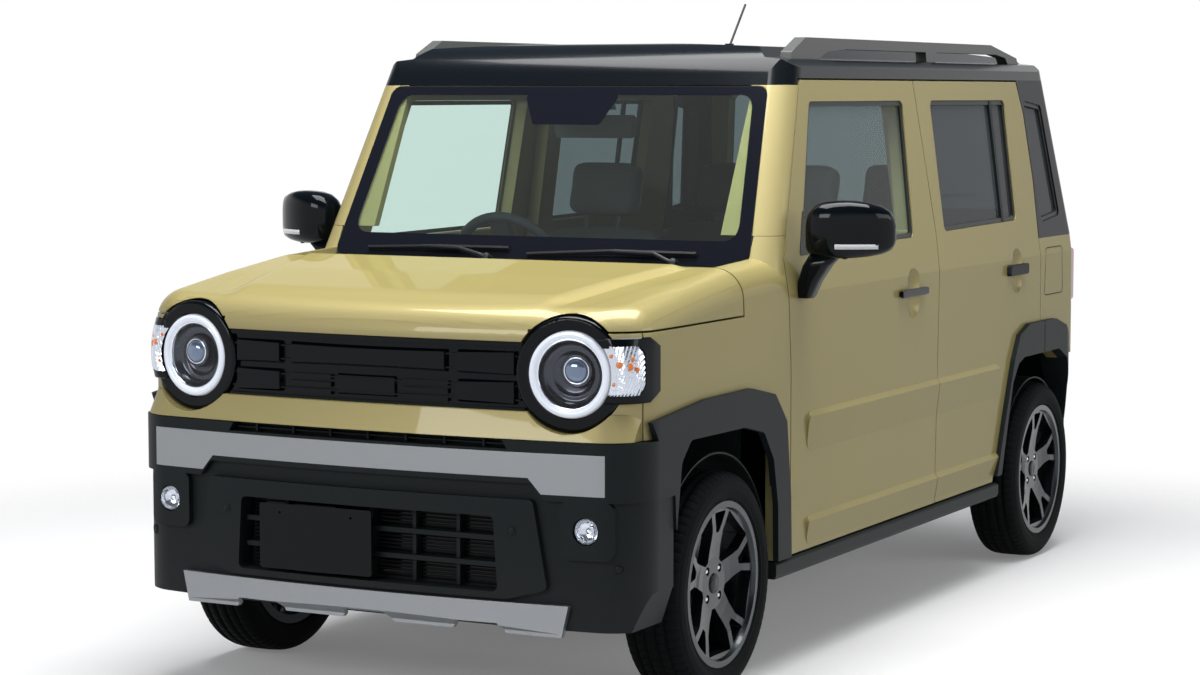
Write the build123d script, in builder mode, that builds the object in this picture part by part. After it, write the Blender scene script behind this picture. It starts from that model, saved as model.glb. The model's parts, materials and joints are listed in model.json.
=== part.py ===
"""Small tall five-door car: panels, doors, glass, cabin, running gear and wheels."""
from build123d import *
import math
import os

os.makedirs("parts", exist_ok=True)

# Overall sizes, in millimetres
LENGTH = 3395.0
WIDTH = 1475.0
HEIGHT = 1680.0
FRONT_AXLE_Y = -1130.0
REAR_AXLE_Y = 1330.0
TYRE_R = 288.0
TYRE_WIDTH = 165.0
WHEEL_X = 647.5
RIM_R = 212.0

# Body skin
NOSE_Y = -LENGTH / 2
TAIL_Y = LENGTH / 2
FLARE_X = WIDTH / 2
SKIN_X = 722.0
BELT_Z = 997.0
SILL_Z = 302.0
DOOR_TOP_Z = 1562.0
SIDE_LEAN = 0.13
ROOF_Z = 1667.0
ROOF_EDGE_Z = 1596.0
WALL = 55.0
GAP = 5.0
FLOOR_Z = 335.0
PANEL = 25.0

# Windscreen plane: y rises with z along its rake
SCREEN_Y = -812.0
SCREEN_Z = 1084.0
SCREEN_RAKE = 0.509

# Tailgate plane
TAIL_TOP_Y = 1556.0
TAIL_TOP_Z = 1612.0
TAIL_BELT_Y = 1688.0
TAIL_BELT_Z = 1055.0

# Bonnet and nose
BONNET_NOSE_Y = -1662.0
BONNET_LIP_Z = 927.0
BONNET_REAR_Y = -1040.0
BONNET_REAR_Z = 1082.0
BONNET_SIDE_Z = 958.0
NOSE_BOTTOM_Z = 700.0
NOSE_ARC_R = 5600.0
NOSE_CORNER_R = 125.0

# Lamps
LAMP_X = 547.0
LAMP_Z = 857.0
LAMP_BEZEL_R = 140.0
LAMP_RING_R = 108.0
LAMP_TOE = 7.0

# Bumper
BUMPER_TOP_Z = 698.0
BUMPER_LOW_Z = 242.0
BUMPER_ARC_R = 4800.0
BUMPER_CORNER_R = 130.0
BUMPER_RECESS = 16.0
BUMPER_WALL = 45.0

# Door shut lines as (y, z)
FRONT_DOOR = [(-712, SILL_Z), (-712, 800), (-738, 1090), (-500, DOOR_TOP_Z),
              (331, DOOR_TOP_Z), (385, 1110), (380, 1000), (355, SILL_Z)]
REAR_DOOR = [(360, SILL_Z), (385, 1000), (390, 1110), (336, DOOR_TOP_Z),
             (1251, DOOR_TOP_Z), (1291, 1455), (1314, 1242), (1307, 1055), (1315, 690),
             (1120, 690), (1066, 676), (1005, 604), (935, 440), (905, SILL_Z)]
FRONT_WINDOW = [(-624, 1098), (-456, 1504), (235, 1504), (205, 1105)]
REAR_WINDOW = [(459, 1111), (455, 1504), (1121, 1503), (1114, 1119)]
QUARTER_WINDOW = [(1362, 1103), (1318, 1300), (1307, 1502), (1474, 1485), (1547, 1121)]

# Wheel openings and their flares as (y, z)
FRONT_OPENING = [(-1442, 190), (-1434, 450), (-1404, 631), (-1351, 681), (-1037, 678),
                 (-918, 653), (-857, 576), (-828, 450), (-822, 190)]
FRONT_FLARE = [(-1560, 745), (-1260, 772), (-991, 774), (-847, 746), (-772, 668),
               (-744, 461), (-738, 300), (-738, 190), (-830, 190), (-1200, 500),
              (-1434, 470), (-1441, 556)]
REAR_OPENING = [(880, 190), (914, 320), (1013, 604), (1066, 661), (1121, 678), (1470, 678),
                (1560, 640), (1618, 540), (1640, 420), (1640, 190)]
REAR_FLARE = [(866, 300), (944, 488), (1028, 676), (1081, 752), (1174, 782), (1440, 780),
              (1545, 752), (1612, 690), (1655, 590), (1668, 440), (1640, 420), (880, 190)]
FLARE_IN_X = SKIN_X - 22


def side_prism(points, x_from, x_to, radius=0.0):
    """Prism of a side-view outline (y, z) between two x planes."""
    with BuildPart() as prism:
        with BuildSketch(Plane.YZ.offset(x_from)) as outline:
            with BuildLine():
                Polyline(*points, close=True)
            make_face()
            if radius:
                fillet(outline.vertices(), radius)
        extrude(amount=x_to - x_from)
    return prism.part


def front_prism(points, y_from, y_to, radius=0.0):
    """Prism of a front-view outline (x, z) between two y planes."""
    with BuildPart() as prism:
        with BuildSketch(Plane.XZ.offset(-y_to)) as outline:
            with BuildLine():
                Polyline(*points, close=True)
            make_face()
            if radius:
                fillet(outline.vertices(), radius)
        extrude(amount=y_to - y_from)
    return prism.part


def plan_prism(points, z_from, z_to, radius=0.0):
    """Prism of a plan outline (x, y) between two z planes."""
    with BuildPart() as prism:
        with BuildSketch(Plane.XY.offset(z_from)) as outline:
            with BuildLine():
                Polyline(*points, close=True)
            make_face()
            if radius:
                fillet(outline.vertices(), radius)
        extrude(amount=z_to - z_from)
    return prism.part


def block(x_from, x_to, y_from, y_to, z_from, z_to):
    """Square block given by its limits."""
    return plan_prism([(x_from, y_from), (x_to, y_from), (x_to, y_to), (x_from, y_to)],
                      z_from, z_to)


def mirrored(shape):
    """The same shape on the other side of the car."""
    with BuildPart() as other:
        mirror(shape, about=Plane.YZ)
    return other.part


def both_sides(shape):
    """A pair of like solids, left and right."""
    with BuildPart() as pair:
        add(shape)
        mirror(shape, about=Plane.YZ)
    return pair.part


def save(shape, name):
    """Label one component and write it."""
    shape.label = name
    export_step(shape, f"parts/{name}.step")


def skin_x(z, inset=0.0):
    """Half width of the door skin at a height."""
    return SKIN_X - SIDE_LEAN * max(0.0, z - BELT_Z) - inset


def screen_y(z):
    """Windscreen plane at a height."""
    return SCREEN_Y + SCREEN_RAKE * (z - SCREEN_Z)


def tail_y(z):
    """Tailgate plane at a height."""
    slope = (TAIL_BELT_Y - TAIL_TOP_Y) / (TAIL_TOP_Z - TAIL_BELT_Z)
    return TAIL_BELT_Y - slope * (z - TAIL_BELT_Z)


def side_layer(near, far, z_from=100.0, z_to=ROOF_EDGE_Z):
    """Layer of the left wall between two depths under the skin."""
    outline = [(skin_x(0, near), z_from), (skin_x(BELT_Z, near), BELT_Z),
               (skin_x(z_to, near), z_to), (skin_x(z_to, far), z_to),
               (skin_x(BELT_Z, far), BELT_Z), (skin_x(0, far), z_from)]
    return front_prism(outline, -900, TAIL_Y)


def cabin_shell(side_in, roof_in, screen_in, tail_in, low_z, corner=0.0):
    """Cab form: leaning walls with rounded corners under a crowned roof, moved in by insets."""
    top_z = ROOF_Z - roof_in
    high_z = ROOF_Z + 100
    screen_shift = screen_in * math.hypot(1, SCREEN_RAKE)
    with BuildPart() as shell:
        with BuildSketch(Plane.XZ.offset(-TAIL_Y)):
            with BuildLine():
                Polyline((skin_x(0, side_in), low_z), (skin_x(0, side_in), BELT_Z),
                         (skin_x(high_z, side_in), high_z), (-skin_x(high_z, side_in), high_z),
                         (-skin_x(0, side_in), BELT_Z), (-skin_x(0, side_in), low_z), close=True)
            make_face()
        extrude(amount=2 * TAIL_Y)
        with BuildSketch(Plane.YZ.offset(-SKIN_X)):
            with BuildLine():
                Polyline((screen_y(960) + screen_shift, low_z), (screen_y(960) + screen_shift, 960),
                         (screen_y(high_z) + screen_shift, high_z),
                         (tail_y(high_z) - tail_in, high_z),
                         (tail_y(TAIL_BELT_Z) - tail_in, TAIL_BELT_Z),
                         (TAIL_Y - 4 - tail_in, 800), (TAIL_Y - 4 - tail_in, low_z), close=True)
            make_face()
        extrude(amount=2 * SKIN_X, mode=Mode.INTERSECT)
        if corner:
            upright = shell.edges().filter_by(
                lambda e: abs(e.center().X) > 500 and abs(e.tangent_at(0.5).Z) > 0.6)
            fillet(upright.filter_by(lambda e: e.center().Y > 1400 or e.center().Z > 1000), corner)
        with BuildSketch(Plane.YZ.offset(-SKIN_X)) as profile:
            with BuildLine():
                brow = (screen_y(top_z - 4), top_z - 4)
                heel = (tail_y(1636 - roof_in), 1636 - roof_in)
                ThreePointArc(brow, (400, top_z), heel)
                Polyline(heel, (tail_y(900) + 40, 900), (tail_y(900) + 40, low_z),
                         (screen_y(900), low_z), (screen_y(900), 900), brow)
            make_face()
            corners = profile.vertices().filter_by_position(Axis.Y, top_z - 60, top_z + 5)
            fillet(corners.sort_by(Axis.X)[0], 150)
            fillet(corners.sort_by(Axis.X)[-1], 70)
        extrude(amount=2 * SKIN_X, mode=Mode.INTERSECT)
        edge_x = skin_x(ROOF_EDGE_Z, side_in)
        with BuildSketch(Plane.XZ.offset(-TAIL_Y)):
            with BuildLine():
                right = [(SKIN_X + 20, low_z), (SKIN_X + 20, ROOF_EDGE_Z - roof_in),
                         (edge_x, ROOF_EDGE_Z - roof_in), (edge_x - 34, 1618 - roof_in),
                         (557 - side_in, 1624 - roof_in), (520 - side_in, 1654 - roof_in)]
                left = [(-x, z) for x, z in reversed(right)]
                Polyline(*right)
                ThreePointArc(right[-1], (0, top_z), left[0])
                Polyline(*left)
                Line(left[-1], right[0])
            make_face()
        extrude(amount=2 * TAIL_Y, mode=Mode.INTERSECT)
    return shell.part


def plan_outline(front_y, arc_r, corner_r, half_width, rear_y):
    """Plan face with a gently curved front and rounded front corners."""
    sag = arc_r - math.sqrt(arc_r ** 2 - half_width ** 2)
    with BuildSketch() as plan:
        with BuildLine():
            Polyline((half_width, front_y + sag), (half_width, rear_y), (-half_width, rear_y),
                     (-half_width, front_y + sag))
            ThreePointArc((-half_width, front_y + sag), (0, front_y), (half_width, front_y + sag))
        make_face()
        fillet(plan.vertices().sort_by(Axis.Y)[:2], corner_r)
    return plan.sketch


def nose_form(inset=0.0):
    """Bonnet and front wings as one rounded block, each face moved in by an inset."""
    with BuildPart() as nose:
        with BuildSketch(Plane.XY.offset(NOSE_BOTTOM_Z)):
            add(plan_outline(BONNET_NOSE_Y + inset, NOSE_ARC_R, NOSE_CORNER_R - inset,
                             SKIN_X - inset, -744))
        extrude(amount=500)
        with BuildSketch(Plane.YZ.offset(-SKIN_X)) as profile:
            with BuildLine():
                Polyline((-1760, NOSE_BOTTOM_Z), (-1760, 1002 - inset), (-1640, 1004 - inset),
                         (-1300, 1052 - inset), (BONNET_REAR_Y, BONNET_REAR_Z - inset),
                         (-744, 1096 - inset), (-744, NOSE_BOTTOM_Z), close=True)
            make_face()
            fillet(profile.vertices().filter_by_position(Axis.X, -1320, -1020), 900)
            fillet(profile.vertices().filter_by_position(Axis.X, -1645, -1635), 300)
        extrude(amount=2 * SKIN_X, mode=Mode.INTERSECT)
        rim = nose.edges().filter_by(
            lambda e: e.center().Z > 980 and e.center().Y < -750
            and (abs(e.center().X) > SKIN_X - inset - 60 or e.center().Y < -1500))
        fillet(rim, 78 - inset)
    return nose.part


# Cab and body sides
ROOF_SPLIT_Z = DOOR_TOP_Z + GAP
TAILGATE_X = 622.0
TAILGATE_LOW_Z = 655.0
SCREEN_TOP_Z = 1546.0
SCREEN_LOW_Z = 1072.0
HEADER_Z = 1548.0
TAIL_LAMP = [(650, 824), (712, 824), (714, 1006), (650, 1006)]
GLASS = 5.0

cab = cabin_shell(0, 0, 0, 0, SILL_Z, corner=68)
cavity = cabin_shell(WALL + GAP, 28, 30, WALL, FLOOR_Z)
nose = nose_form()
nose_hollow = nose_form(PANEL)


def screen_slab(depth, reach, x_top, x_low, z_top, z_low):
    """Slab in the windscreen plane between two depths, cut to a tapered front outline."""
    shift = math.hypot(1, SCREEN_RAKE)
    near, far = depth * shift, (depth + reach) * shift
    with BuildPart() as slab:
        add(side_prism([(screen_y(z_low) + near, z_low), (screen_y(z_top) + near, z_top),
                        (screen_y(z_top) + far, z_top), (screen_y(z_low) + far, z_low)],
                       -700, 700))
        add(front_prism([(-x_low, z_low), (x_low, z_low), (x_top, z_top), (-x_top, z_top)],
                        -1000, -400, radius=30), mode=Mode.INTERSECT)
    return slab.part


def tail_slab(depth, reach, x_top, x_low, z_top, z_low, radius=30.0):
    """Slab in the tailgate plane between two depths, cut to a tapered rear outline."""
    with BuildPart() as slab:
        add(side_prism([(tail_y(z_low) - depth, z_low), (tail_y(z_top) - depth, z_top),
                        (tail_y(z_top) - depth - reach, z_top),
                        (tail_y(z_low) - depth - reach, z_low)], -700, 700))
        add(front_prism([(-x_low, z_low), (x_low, z_low), (x_top, z_top), (-x_top, z_top)],
                        1400, 1750, radius=radius), mode=Mode.INTERSECT)
    return slab.part


screen_hole = screen_slab(-20, 27, 590, 645, SCREEN_TOP_Z, SCREEN_LOW_Z)
tailgate_hole = front_prism([(-TAILGATE_X, TAILGATE_LOW_Z), (TAILGATE_X, TAILGATE_LOW_Z),
                             (TAILGATE_X, 1100), (TAILGATE_X - 50, 1575),
                             (-TAILGATE_X + 50, 1575), (-TAILGATE_X, 1100)], 1480, 1800)

with BuildPart() as side_frame:
    add(cab)
    add(cavity, mode=Mode.SUBTRACT)
    add(block(540, 730, -900, 1700, 200, ROOF_SPLIT_Z), mode=Mode.INTERSECT)
    add(side_prism([(-900, 200), (-900, 1152), (-700, 1152), (-700, 200)], 500, 800),
        mode=Mode.SUBTRACT)
    add(side_prism([(-717, 200), (-717, 800), (-743, 1090), (-505, DOOR_TOP_Z), (-505, 1600),
                    (1258, 1600), (1258, DOOR_TOP_Z - 2), (1297, 1455), (1320, 1242),
                    (1313, 1055), (1321, 686), (1321, 200)], 500, 800), mode=Mode.SUBTRACT)
    add(front_prism([(skin_x(0, 60), 300), (skin_x(BELT_Z, 60), BELT_Z),
                     (skin_x(ROOF_SPLIT_Z, 60), ROOF_SPLIT_Z),
                     (skin_x(ROOF_SPLIT_Z, 100), ROOF_SPLIT_Z), (skin_x(BELT_Z, 100), BELT_Z),
                     (skin_x(0, 100), 300)], 310, 400))
    add(front_prism([(skin_x(1515, 60), 1515), (skin_x(ROOF_SPLIT_Z, 60), ROOF_SPLIT_Z),
                     (545, ROOF_SPLIT_Z), (545, 1515)], -540, 1475))
    add(block(600, skin_x(0, 60), -780, 1000, 256, FLOOR_Z + 40))
    add(side_prism(REAR_FLARE, FLARE_IN_X, 760), mode=Mode.SUBTRACT)
    add(block(500, 800, 1560, 1750, 200, 652), mode=Mode.SUBTRACT)
    add(side_prism(REAR_OPENING, 500, 800, radius=30), mode=Mode.SUBTRACT)
    add(side_prism(QUARTER_WINDOW, 500, 800, radius=18), mode=Mode.SUBTRACT)
    add(screen_hole, mode=Mode.SUBTRACT)
    add(tailgate_hole, mode=Mode.SUBTRACT)
    add(block(500, 730, -900, -490, HEADER_Z, 1700), mode=Mode.SUBTRACT)
    add(front_prism(TAIL_LAMP, 1622, 1750, radius=14), mode=Mode.SUBTRACT)
save(side_frame.part, "body_side_left")
save(mirrored(side_frame.part), "body_side_right")

with BuildPart() as roof:
    add(cab)
    add(cavity, mode=Mode.SUBTRACT)
    add(side_prism([(-800, HEADER_Z), (-518, HEADER_Z), (-512, ROOF_SPLIT_Z),
                    (1700, ROOF_SPLIT_Z), (1700, 1700), (-800, 1700)], -730, 730),
        mode=Mode.INTERSECT)
    add(tailgate_hole, mode=Mode.SUBTRACT)
save(roof.part, "roof_panel")

with BuildPart() as floor:
    add(block(-600, 600, -785, 1000, 300, FLOOR_Z))
    add(block(-425, 425, 990, 1640, 340, 520))
    add(block(-400, 400, 1015, 1615, 300, 500), mode=Mode.SUBTRACT)
    add(block(-425, 425, 1615, 1640, 520, 650))
    add(block(-425, 425, 975, 1000, 300, 520))
    add(block(-90, 90, -765, 480, FLOOR_Z, 400))
save(floor.part, "floor_pan")

with BuildPart() as bulkhead:
    add(block(-600, 600, -785, -765, FLOOR_Z, 1010))
    add(side_prism([(-1009, 1040), (-1021, 1068), (screen_y(SCREEN_LOW_Z) - 2, 1066),
                    (-765, 1066), (-765, 1010), (-785, 1010), (-815, 1040)], -640, 640))
save(bulkhead.part, "bulkhead")

# Bonnet, wings and nose
lamp_planes = []
for hand in (1, -1):
    toe = math.radians(LAMP_TOE) * hand
    lamp_planes.append(Plane(origin=(hand * LAMP_X, -1630, LAMP_Z),
                             x_dir=(math.cos(toe), math.sin(toe), 0),
                             z_dir=(math.sin(toe), -math.cos(toe), 0)))


def lamp_disc(radius, near, far, hand=0):
    """Disc or cylinder on a lamp axis between two depths behind its face."""
    plane = lamp_planes[hand]
    with BuildPart() as disc:
        with BuildSketch(plane.offset(-far)):
            Circle(radius)
        extrude(amount=far - near)
    return disc.part


GRILLE = [(-442, 765), (442, 765), (424, 930), (-424, 930)]
TURN_OUTLINE = [(600, 795), (760, 795), (760, 945), (600, 945)]
turn_hole = front_prism(TURN_OUTLINE, -1800, -1545, radius=12)
with BuildPart() as lamp_hole_tool:
    add(lamp_disc(LAMP_BEZEL_R + 1, -100, 160))
    add(turn_hole)
lamp_hole = lamp_hole_tool.part

with BuildPart() as bonnet:
    add(nose)
    add(nose_hollow, mode=Mode.SUBTRACT)
    with BuildPart(mode=Mode.PRIVATE) as above:
        add(side_prism([(-1800, BONNET_SIDE_Z + GAP), (-1018, BONNET_SIDE_Z + GAP),
                        (-1030, 1100), (-1800, 1100)], -800, 800))
        add(front_prism([(-440, 932), (440, 932), (440, 980), (-440, 980)], -1800, -1500))
    add(above.part, mode=Mode.INTERSECT)
    add(lamp_disc(LAMP_BEZEL_R + GAP, -100, 160), mode=Mode.SUBTRACT)
    add(lamp_disc(LAMP_BEZEL_R + GAP, -100, 160, 1), mode=Mode.SUBTRACT)
save(bonnet.part, "bonnet")

with BuildPart() as wing:
    add(nose)
    add(cab)
    add(nose_hollow, mode=Mode.SUBTRACT)
    add(cavity, mode=Mode.SUBTRACT)
    add(side_prism([(-1558, NOSE_BOTTOM_Z), (-717, NOSE_BOTTOM_Z), (-717, 800), (-743, 1090),
                    (-712, 1151), (-900, 1151), (-1022, 1088), (-1010, BONNET_SIDE_Z),
                    (-1558, BONNET_SIDE_Z)], 0, 800), mode=Mode.INTERSECT)
    add(block(640, 730, -1560, -717, 690, 1200), mode=Mode.INTERSECT)
    add(block(SKIN_X - PANEL, SKIN_X, -822, -717, SILL_Z, 720))
    add(side_prism(FRONT_OPENING, 500, 800, radius=30), mode=Mode.SUBTRACT)
    add(lamp_hole, mode=Mode.SUBTRACT)
    add(screen_hole, mode=Mode.SUBTRACT)
save(both_sides(wing.part), "front_wings")

with BuildPart() as chin:
    with BuildSketch(Plane.XY.offset(NOSE_BOTTOM_Z)):
        add(plan_outline(-1690, NOSE_ARC_R, NOSE_CORNER_R, SKIN_X + 8, -1400))
    extrude(amount=64, taper=20)
    add(block(-SKIN_X + 15, SKIN_X - 15, -1700, -1562, 600, 800), mode=Mode.INTERSECT)
with BuildPart() as nose_panel:
    add(nose)
    add(block(-730, 730, -1700, -1562, NOSE_BOTTOM_Z, BONNET_SIDE_Z), mode=Mode.INTERSECT)
    add(chin.part)
    add(nose_hollow, mode=Mode.SUBTRACT)
    add(lamp_hole, mode=Mode.SUBTRACT)
    add(mirrored(lamp_hole), mode=Mode.SUBTRACT)
    add(front_prism(GRILLE, -1800, -1560), mode=Mode.SUBTRACT)
    add(front_prism([(-450, 920), (450, 920), (450, 1000), (-450, 1000)], -1800, -1500),
        mode=Mode.SUBTRACT)
save(nose_panel.part, "nose_panel")


# Doors
UPPER_RIB_Z = 667.0
LOWER_RIB_Z = 384.0
RIB_PROUD = 10.0
GLASS_DEPTH = 12.0


def rib(z, drop):
    """Long ledge along both doors that steps out below a line and fades downward."""
    with BuildPart() as ledge:
        add(front_prism([(SKIN_X - 2, z + 8), (SKIN_X, z + 8), (SKIN_X + RIB_PROUD, z - 6),
                         (SKIN_X, z - drop), (SKIN_X - 2, z - drop)], -609, 910))
        add(side_prism([(-609, z - drop), (-609, z + 8), (910, z + 8), (910, z - drop)],
                       600, 800, radius=drop / 3), mode=Mode.INTERSECT)
    return ledge.part


ribs = [rib(UPPER_RIB_Z, 100), rib(LOWER_RIB_Z, 70)]


def door(outline, window, pocket_y, pocket_z):
    """Door the full thickness of the wall, with its window, ledges and handle pocket."""
    with BuildPart() as panel:
        add(side_layer(0, WALL))
        for ledge in ribs:
            add(ledge)
        add(side_prism(outline, 500, 800), mode=Mode.INTERSECT)
        add(side_prism(window, 500, 800, radius=22), mode=Mode.SUBTRACT)
        for lift in (26, -30):
            with Locations((SKIN_X + 62, pocket_y, pocket_z + lift)):
                Sphere(78, mode=Mode.SUBTRACT)
    return panel.part


def door_glass(window):
    """Pane set into a door frame."""
    with BuildPart() as pane:
        add(side_layer(GLASS_DEPTH, GLASS_DEPTH + GLASS))
        add(side_prism(window, 500, 800, radius=22), mode=Mode.INTERSECT)
    return pane.part


def handle(y_from, y_to, z):
    """Pull handle with its two posts."""
    with BuildPart() as grip:
        add(side_prism([(y_from, z - 17), (y_from + 10, z + 17), (y_to, z + 17),
                        (y_to, z - 17)], SKIN_X + 2, SKIN_X + 16, radius=9))
        fillet(grip.faces().sort_by(Axis.X)[-1].edges(), 4)
        for y in (y_from + 4, y_to - 30):
            add(block(SKIN_X - 2, SKIN_X + 4, y + 2, y + 24, z - 12, z + 12))
    return grip.part


front_door = door(FRONT_DOOR, FRONT_WINDOW, 172, 948)
rear_door = door(REAR_DOOR, REAR_WINDOW, 1082, 963)

# Rear arch moulding, split between the rear door and the quarter
FLARE_SEAM_Y = 1318.0

with BuildPart() as rear_form:
    with BuildSketch(Plane.XY.offset(190)) as rear_plan:
        with BuildLine():
            Polyline((-FLARE_X, 860), (FLARE_X, 860), (FLARE_X, TAIL_Y - 26))
            ThreePointArc((FLARE_X, TAIL_Y - 26), (0, TAIL_Y), (-FLARE_X, TAIL_Y - 26))
            Line((-FLARE_X, TAIL_Y - 26), (-FLARE_X, 860))
        make_face()
        fillet(rear_plan.vertices().sort_by(Axis.Y)[-2:], 130)
    extrude(amount=620)

with BuildPart() as rear_flare:
    add(side_prism(REAR_FLARE, FLARE_IN_X, 740))
    add(rear_form.part, mode=Mode.INTERSECT)
    add(side_prism(REAR_OPENING, 500, 800, radius=30), mode=Mode.SUBTRACT)
    add(block(500, 800, 800, 2000, 100, 320), mode=Mode.SUBTRACT)

with BuildPart() as rear_door_clear:
    add(rear_door)
    add(side_prism(REAR_FLARE, FLARE_IN_X, 760), mode=Mode.SUBTRACT)
with BuildPart() as quarter_flare:
    add(rear_flare.part)
    add(block(500, 800, FLARE_SEAM_Y + GAP, 1750, 100, 900), mode=Mode.INTERSECT)
with BuildPart() as door_flare:
    add(rear_flare.part)
    add(block(500, 800, 800, FLARE_SEAM_Y, 100, 900), mode=Mode.INTERSECT)
with BuildPart() as window_bar:
    add(side_layer(GLASS_DEPTH - 9, GLASS_DEPTH - 0.3))
    add(side_prism([(985, 1100), (983, 1510), (1003, 1510), (1005, 1100)], 500, 800),
        mode=Mode.INTERSECT)
with BuildPart() as rear_fitting:
    add(door_flare.part)
    add(handle(978, 1156, 963))
    add(window_bar.part)
    add(rear_door, mode=Mode.SUBTRACT)

with BuildPart() as mirror_arm:
    add(front_prism([(SKIN_X - 7, 985), (skin_x(1062, 2), 1062), (748, 1108), (840, 1100),
                     (SKIN_X + 36, 988)], -676, -622, radius=5))
MIRROR_FRONT = [(746, 1112), (743, 1190), (760, 1226), (800, 1243), (855, 1246), (930, 1232),
                (957, 1212), (966, 1180), (962, 1124), (930, 1102), (870, 1090), (800, 1094)]
MIRROR_PLAN = [(740, -634), (746, -696), (800, -712), (870, -692), (932, -646), (966, -592),
               (954, -572), (760, -600)]
with BuildPart() as mirror_case:
    add(front_prism(MIRROR_FRONT, -720, -560, radius=12))
    add(plan_prism(MIRROR_PLAN, 1080, 1260, radius=12), mode=Mode.INTERSECT)
with BuildPart() as front_fitting:
    add(mirror_arm.part)
    add(mirror_case.part)
    add(handle(51, 258, 948))
    add(front_door, mode=Mode.SUBTRACT)

for side, turn in (("left", lambda shape: shape), ("right", mirrored)):
    save(turn(front_door), f"front_door_{side}")
    save(turn(door_glass(FRONT_WINDOW)), f"front_door_glass_{side}")
    save(turn(front_fitting.part), f"front_door_fittings_{side}")
    save(turn(rear_door_clear.part), f"rear_door_{side}")
    save(turn(door_glass(REAR_WINDOW)), f"rear_door_glass_{side}")
    save(turn(rear_fitting.part), f"rear_door_fittings_{side}")

with BuildPart() as quarter_glass:
    add(side_layer(GLASS_DEPTH, GLASS_DEPTH + GLASS))
    add(side_prism(QUARTER_WINDOW, 500, 800, radius=18), mode=Mode.INTERSECT)
save(both_sides(quarter_glass.part), "quarter_windows")
save(screen_slab(0, 6, 590, 645, SCREEN_TOP_Z, SCREEN_LOW_Z), "windscreen")

# Tailgate
TAIL_GLASS = (505, 560, 1520, 1130)
with BuildPart() as tailgate:
    add(cab)
    add(cavity, mode=Mode.SUBTRACT)
    add(front_prism([(-TAILGATE_X + GAP, TAILGATE_LOW_Z + GAP),
                     (TAILGATE_X - GAP, TAILGATE_LOW_Z + GAP), (TAILGATE_X - GAP, 1100),
                     (TAILGATE_X - 50 - GAP, 1575 - GAP), (-TAILGATE_X + 50 + GAP, 1575 - GAP),
                     (-TAILGATE_X + GAP, 1100)], 1480, 1800), mode=Mode.INTERSECT)
    add(tail_slab(-20, 100, *TAIL_GLASS), mode=Mode.SUBTRACT)
    add(front_prism([(-190, 700), (190, 700), (178, 884), (-178, 884)], 1676, 1800, radius=16),
        mode=Mode.SUBTRACT)
    add(block(-165, 165, 1672, 1679, 708, 873))
    add(front_prism([(-200, 905), (200, 905), (190, 936), (-190, 936)], 1680, 1697, radius=8))
save(tailgate.part, "tailgate")
save(tail_slab(4, GLASS, *TAIL_GLASS), "tailgate_glass")


# Grille: dark panel with two rows of bevelled blocks, louvred vents and thin links
GRILLE_BEVEL = 24.0
GRILLE_ROWS = {"upper": (850, 908), "lower": (779, 836)}
GRILLE_BLOCKS = [
    # x from, x to, row
    (-404, -262, "upper"), (-238, 222, "upper"), (246, 406, "upper"),
    (-404, -262, "lower"), (-100, 78, "lower"), (246, 406, "lower"),
]
VENT_SPANS = [(-238, -114), (96, 222)]
LINK_ROWS = [790, 824, 862, 896]
LIP_ROWS = [(765, 771), (919, 930)]
grille_back = nose_form(17)
with BuildPart() as grille_blocks:
    for x_from, x_to, row in GRILLE_BLOCKS:
        z_from, z_to = GRILLE_ROWS[row]
        with BuildSketch(Plane.XZ.offset(1638)):
            with Locations(((x_from + x_to) / 2, (z_from + z_to) / 2)):
                Rectangle(x_to - x_from, z_to - z_from)
        extrude(amount=30, taper=GRILLE_BEVEL)
        add(block(x_from, x_to, -1638, -1630, z_from, z_to))
    add(nose_form(3), mode=Mode.INTERSECT)
    add(front_prism([(-100, 770), (78, 770), (78, 843), (-100, 843)], -1800, -1653),
        mode=Mode.SUBTRACT)
with BuildPart() as grille_fins:
    for x_from, x_to in VENT_SPANS:
        z_from, z_to = GRILLE_ROWS["lower"]
        pitch = (z_to - z_from) / 3
        for step in range(3):
            low = z_from + pitch * step
            add(side_prism([(-1635, low), (-1635, low + 12), (-1800, low + 12), (-1800, low)],
                           x_from, x_to))
    for z in LINK_ROWS:
        add(block(-418, 418, -1800, -1635, z - 2, z + 2))
    for z_from, z_to in LIP_ROWS:
        add(block(-430, 430, -1800, -1635, z_from, z_to))
    add(nose_form(8), mode=Mode.INTERSECT)
with BuildPart() as grille:
    add(grille_back)
    add(front_prism(GRILLE, -1800, -1560), mode=Mode.INTERSECT)
    add(nose_form(30), mode=Mode.SUBTRACT)
    add(grille_fins.part)
    add(grille_blocks.part)
    add(front_prism(GRILLE, -1800, -1560), mode=Mode.INTERSECT)
    add(lamp_disc(LAMP_BEZEL_R + 1, -100, 160), mode=Mode.SUBTRACT)
    add(lamp_disc(LAMP_BEZEL_R + 1, -100, 160, 1), mode=Mode.SUBTRACT)
save(grille.part, "grille")

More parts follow.
